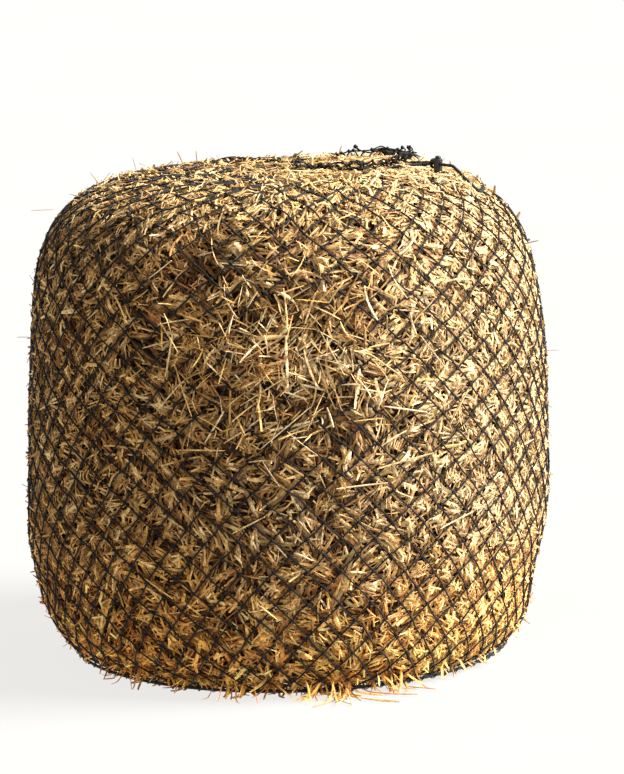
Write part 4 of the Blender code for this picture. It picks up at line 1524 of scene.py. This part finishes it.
# Long stalks that stand out at the front: X, height, turn from level in degrees, length, curl.
LONG_STALKS = [
    (-0.292, 0.905, -50, 0.085, 0.05),
    (-0.258, 0.815, -72, 0.130, -0.08),
    (-0.262, 0.890, -95, 0.110, 0.06),
    (-0.250, 0.612, 3, 0.120, 0.03),
    (0.000, 0.985, -84, 0.095, 0.03),
    (0.002, 0.880, -88, 0.120, 0.02),
    (0.004, 0.880, 208, 0.110, -0.04),
    (0.075, 0.900, -62, 0.130, 0.10),
    (0.175, 0.845, -38, 0.120, -0.10),
    (-0.105, 0.720, 32, 0.150, 0.08),
    (-0.060, 0.620, 40, 0.150, -0.06),
    (0.205, 0.560, 12, 0.140, 0.06),
    (0.225, 0.705, -12, 0.110, -0.04),
    (0.110, 0.520, 5, 0.120, 0.10),
    (-0.330, 1.000, 38, 0.075, 0.06),
    (-0.300, 0.700, 48, 0.100, -0.10),
    (-0.410, 0.960, -48, 0.085, 0.04),
    (0.320, 0.860, -55, 0.110, 0.06),
    (0.375, 0.640, 58, 0.100, 0.05),
    (-0.130, 0.420, 28, 0.090, 0.05),
    (-0.340, 0.300, -30, 0.085, -0.04),
    (-0.080, 0.250, -40, 0.060, 0.03),
    (0.350, 0.400, 20, 0.095, 0.08),
]


def long_stalks():
    x, height, turn, length, curl = np.array(LONG_STALKS).T
    theta = -pi / 2 + np.arcsin(x / OUTER_RADIUS)
    starts, normal = surface(theta, np.interp(-height, -HEIGHTS, ARC), 0.007)
    level = np.stack([-np.sin(theta), np.cos(theta), 0 * theta], axis=1)
    up = unit(np.cross(normal, level))
    turn = np.radians(turn)[:, None]
    direction = level * np.cos(turn) + up * np.sin(turn) * np.sign(up[:, 2:]) + normal * 0.05
    lines, normals = reaching(starts, direction, length, curl, 0.0, 9)
    height_now, away = above_bale(lines)
    lines = lines + np.clip(0.008 - height_now, 0, None)[..., None] * away
    width = rng.uniform(0.0022, 0.0034, len(lines))
    colour = straw_colours(starts, np.zeros(len(lines)), np.full(len(lines), 4.0))
    return straw_part(lines, normals, width, np.full(len(lines), 0.6), np.full(len(lines), 0.4), colour, 5)


# Wisps that break the outline: where they start, which way they go, length, curl and half width.
WISPS = [
    ((-0.430, -0.12, 1.165), (-0.55, 0.0, 0.85), 0.060, -0.25, 0.0016),
    ((-0.345, -0.10, 1.185), (-0.22, 0.0, 1.0), 0.062, 0.12, 0.0012),
    ((-0.202, -0.05, 1.190), (-0.05, 0.0, 1.0), 0.064, 0.05, 0.0013),
    ((-0.215, -0.08, 1.190), (-0.35, 0.1, 0.75), 0.034, 0.10, 0.0011),
    ((0.330, -0.02, 1.185), (0.45, 0.0, 0.85), 0.040, 0.08, 0.0012),
    ((0.375, 0.00, 1.180), (0.62, 0.0, 0.75), 0.046, -0.10, 0.0012),
    ((0.435, -0.15, 1.150), (0.12, 0.0, 1.0), 0.042, 0.15, 0.0016),
    ((0.455, -0.12, 1.150), (0.60, 0.0, 0.80), 0.040, 0.10, 0.0018),
    ((0.575, -0.20, 1.020), (0.95, -0.1, 0.30), 0.045, 0.15, 0.0018),
    ((0.630, -0.05, 0.735), (1.0, 0.0, 0.12), 0.046, 0.25, 0.0008),
    ((-0.555, -0.10, 1.120), (-0.95, 0.0, 0.02), 0.055, 0.05, 0.0009),
    ((-0.630, -0.05, 0.800), (-1.0, 0.0, 0.05), 0.030, 0.10, 0.0010),
    ((-0.640, -0.05, 0.420), (-0.9, 0.0, 0.50), 0.026, 0.10, 0.0012),
    ((-0.470, -0.15, 1.150), (-0.85, 0.0, 0.30), 0.045, 0.10, 0.0014),
    ((0.150, 0.45, 1.165), (0.10, 0.5, 0.90), 0.045, 0.10, 0.0014),
    ((-0.250, 0.42, 1.160), (-0.20, 0.5, 0.85), 0.050, -0.15, 0.0014),
    ((-0.050, 0.55, 1.110), (0.10, 0.9, 0.50), 0.045, 0.15, 0.0015),
    ((0.400, 0.48, 0.900), (0.5, 0.8, 0.30), 0.045, 0.15, 0.0013),
    ((-0.420, 0.46, 0.650), (-0.6, 0.7, 0.25), 0.045, -0.15, 0.0013),
]


def wisps():
    starts, direction, length, curl, width = (np.array(column) for column in zip(*WISPS))
    lines, normals = reaching(starts, direction, length, curl, 0.05, 8)
    count = len(lines)
    colour = straw_colours(starts, np.zeros(count), np.full(count, -1.0))
    colour[:, 3] *= 0.45
    return straw_part(lines, normals, 1.25 * width, np.full(count, 0.6), np.full(count, 0.3), colour, 4)


# Tufts at the foot: angle round the bale in degrees, how many stalks, how far they reach, their spread.
TUFTS = [
    (-143, 12, 0.050, 0.7),
    (-132, 16, 0.058, 0.7),
    (-120, 14, 0.050, 0.8),
    (-104, 20, 0.070, 0.6),
    (-95, 12, 0.045, 0.8),
    (-85, 18, 0.070, 0.5),
    (-78, 26, 0.150, 0.30),
    (-68, 12, 0.060, 0.6),
    (-62, 12, 0.085, 0.35),
    (-48, 10, 0.045, 0.7),
    (-30, 8, 0.040, 0.8),
    (10, 12, 0.055, 0.8),
    (48, 14, 0.050, 0.8),
    (92, 16, 0.065, 0.8),
    (128, 12, 0.050, 0.8),
    (160, 12, 0.045, 0.8),
]


def foot_tufts():
    """Hay that has worked out round the lower edge, hanging to the floor and lying on it."""
    parts = []
    groups = [(angle, count, reach, spread, 0.05) for angle, count, reach, spread in TUFTS]
    groups += [(angle, 6, 0.024, 3.5, 0.07) for angle in range(-180, 180, 4)]
    for angle, count, reach, spread, wide in groups:
        theta = radians(angle) + rng.normal(0, wide * 0.8, count)
        arc = SEAM_ARC + rng.uniform(-0.060, 0.030, count)
        starts, normal = surface(theta, arc, -0.004)
        radial = np.stack([np.cos(theta), np.sin(theta), 0 * theta], axis=1)
        sideways = np.stack([-np.sin(theta), np.cos(theta), 0 * theta], axis=1)
        direction = radial + sideways * rng.normal(0, spread, (count, 1)) + normal * 0.4
        direction[:, 2] -= rng.uniform(0.1, 0.9, count)
        length = reach * rng.uniform(0.35, 1.15, count)
        curl, droop = rng.normal(0, 0.4, count), rng.uniform(0, 0.6, count)
        lines, normals = reaching(starts, direction, length, curl, droop, 7)
        far = np.hypot(lines[..., 0], lines[..., 1])
        lines[..., :2] *= np.minimum(1, FOOT_REACH / far)[..., None]
        lines[..., 2] += rng.uniform(0, 0.006, (count, 1))
        parts.append(stray_part(lines, normals, -0.6, 0.5, 0.85, 0.8))
    return parts


def make_stray_hay():
    for name, parts in (
        ("hay_poking_out", [poking_out()]),
        ("hay_pulled_through", [pulled_through()]),
        ("hay_foot_tufts", foot_tufts()),
        ("hay_long_stalks", [long_stalks()]),
        ("hay_wisps", [wisps()]),
    ):
        hay_piece(name, parts)


make_stray_hay()


# Floor, light and background.


def make_stage():
    bpy.ops.mesh.primitive_plane_add(size=160, location=(0, 0, 0))
    floor = bpy.context.object
    floor.name = "floor"
    nodes = Nodes("pale_floor", 0.9, Specular_IOR_Level=0.1, Emission_Strength=0.80)
    nodes.shader.inputs["Emission Color"].default_value = (1.0, 0.985, 0.96, 1)
    greys = [(0.3, (0.070, 0.070, 0.070)), (0.7, (0.085, 0.085, 0.085))]
    nodes.colour(nodes.ramp(nodes.noise(nodes.place(), 0.6), greys))
    floor.data.materials.append(nodes.material)


def make_light():
    """A strong soft key from the right, and a weak even light from all round."""
    scene = bpy.context.scene
    scene.view_settings.view_transform = "Standard"
    world = bpy.data.worlds.new("studio")
    world.use_nodes = True
    background = world.node_tree.nodes["Background"]
    background.inputs["Color"].default_value = (1.0, 0.97, 0.93, 1)
    background.inputs["Strength"].default_value = 0.42
    scene.world = world
    sun = bpy.data.lights.new("key", "SUN")
    sun.energy = 11.8
    sun.angle = radians(32)
    sun.color = (1.0, 0.965, 0.91)
    key = bpy.data.objects.new("key", sun)
    scene.collection.objects.link(key)
    towards = Vector((0.80, -0.08, 0.62))
    key.rotation_euler = towards.to_track_quat("Z", "Y").to_euler()


make_stage()
make_light()
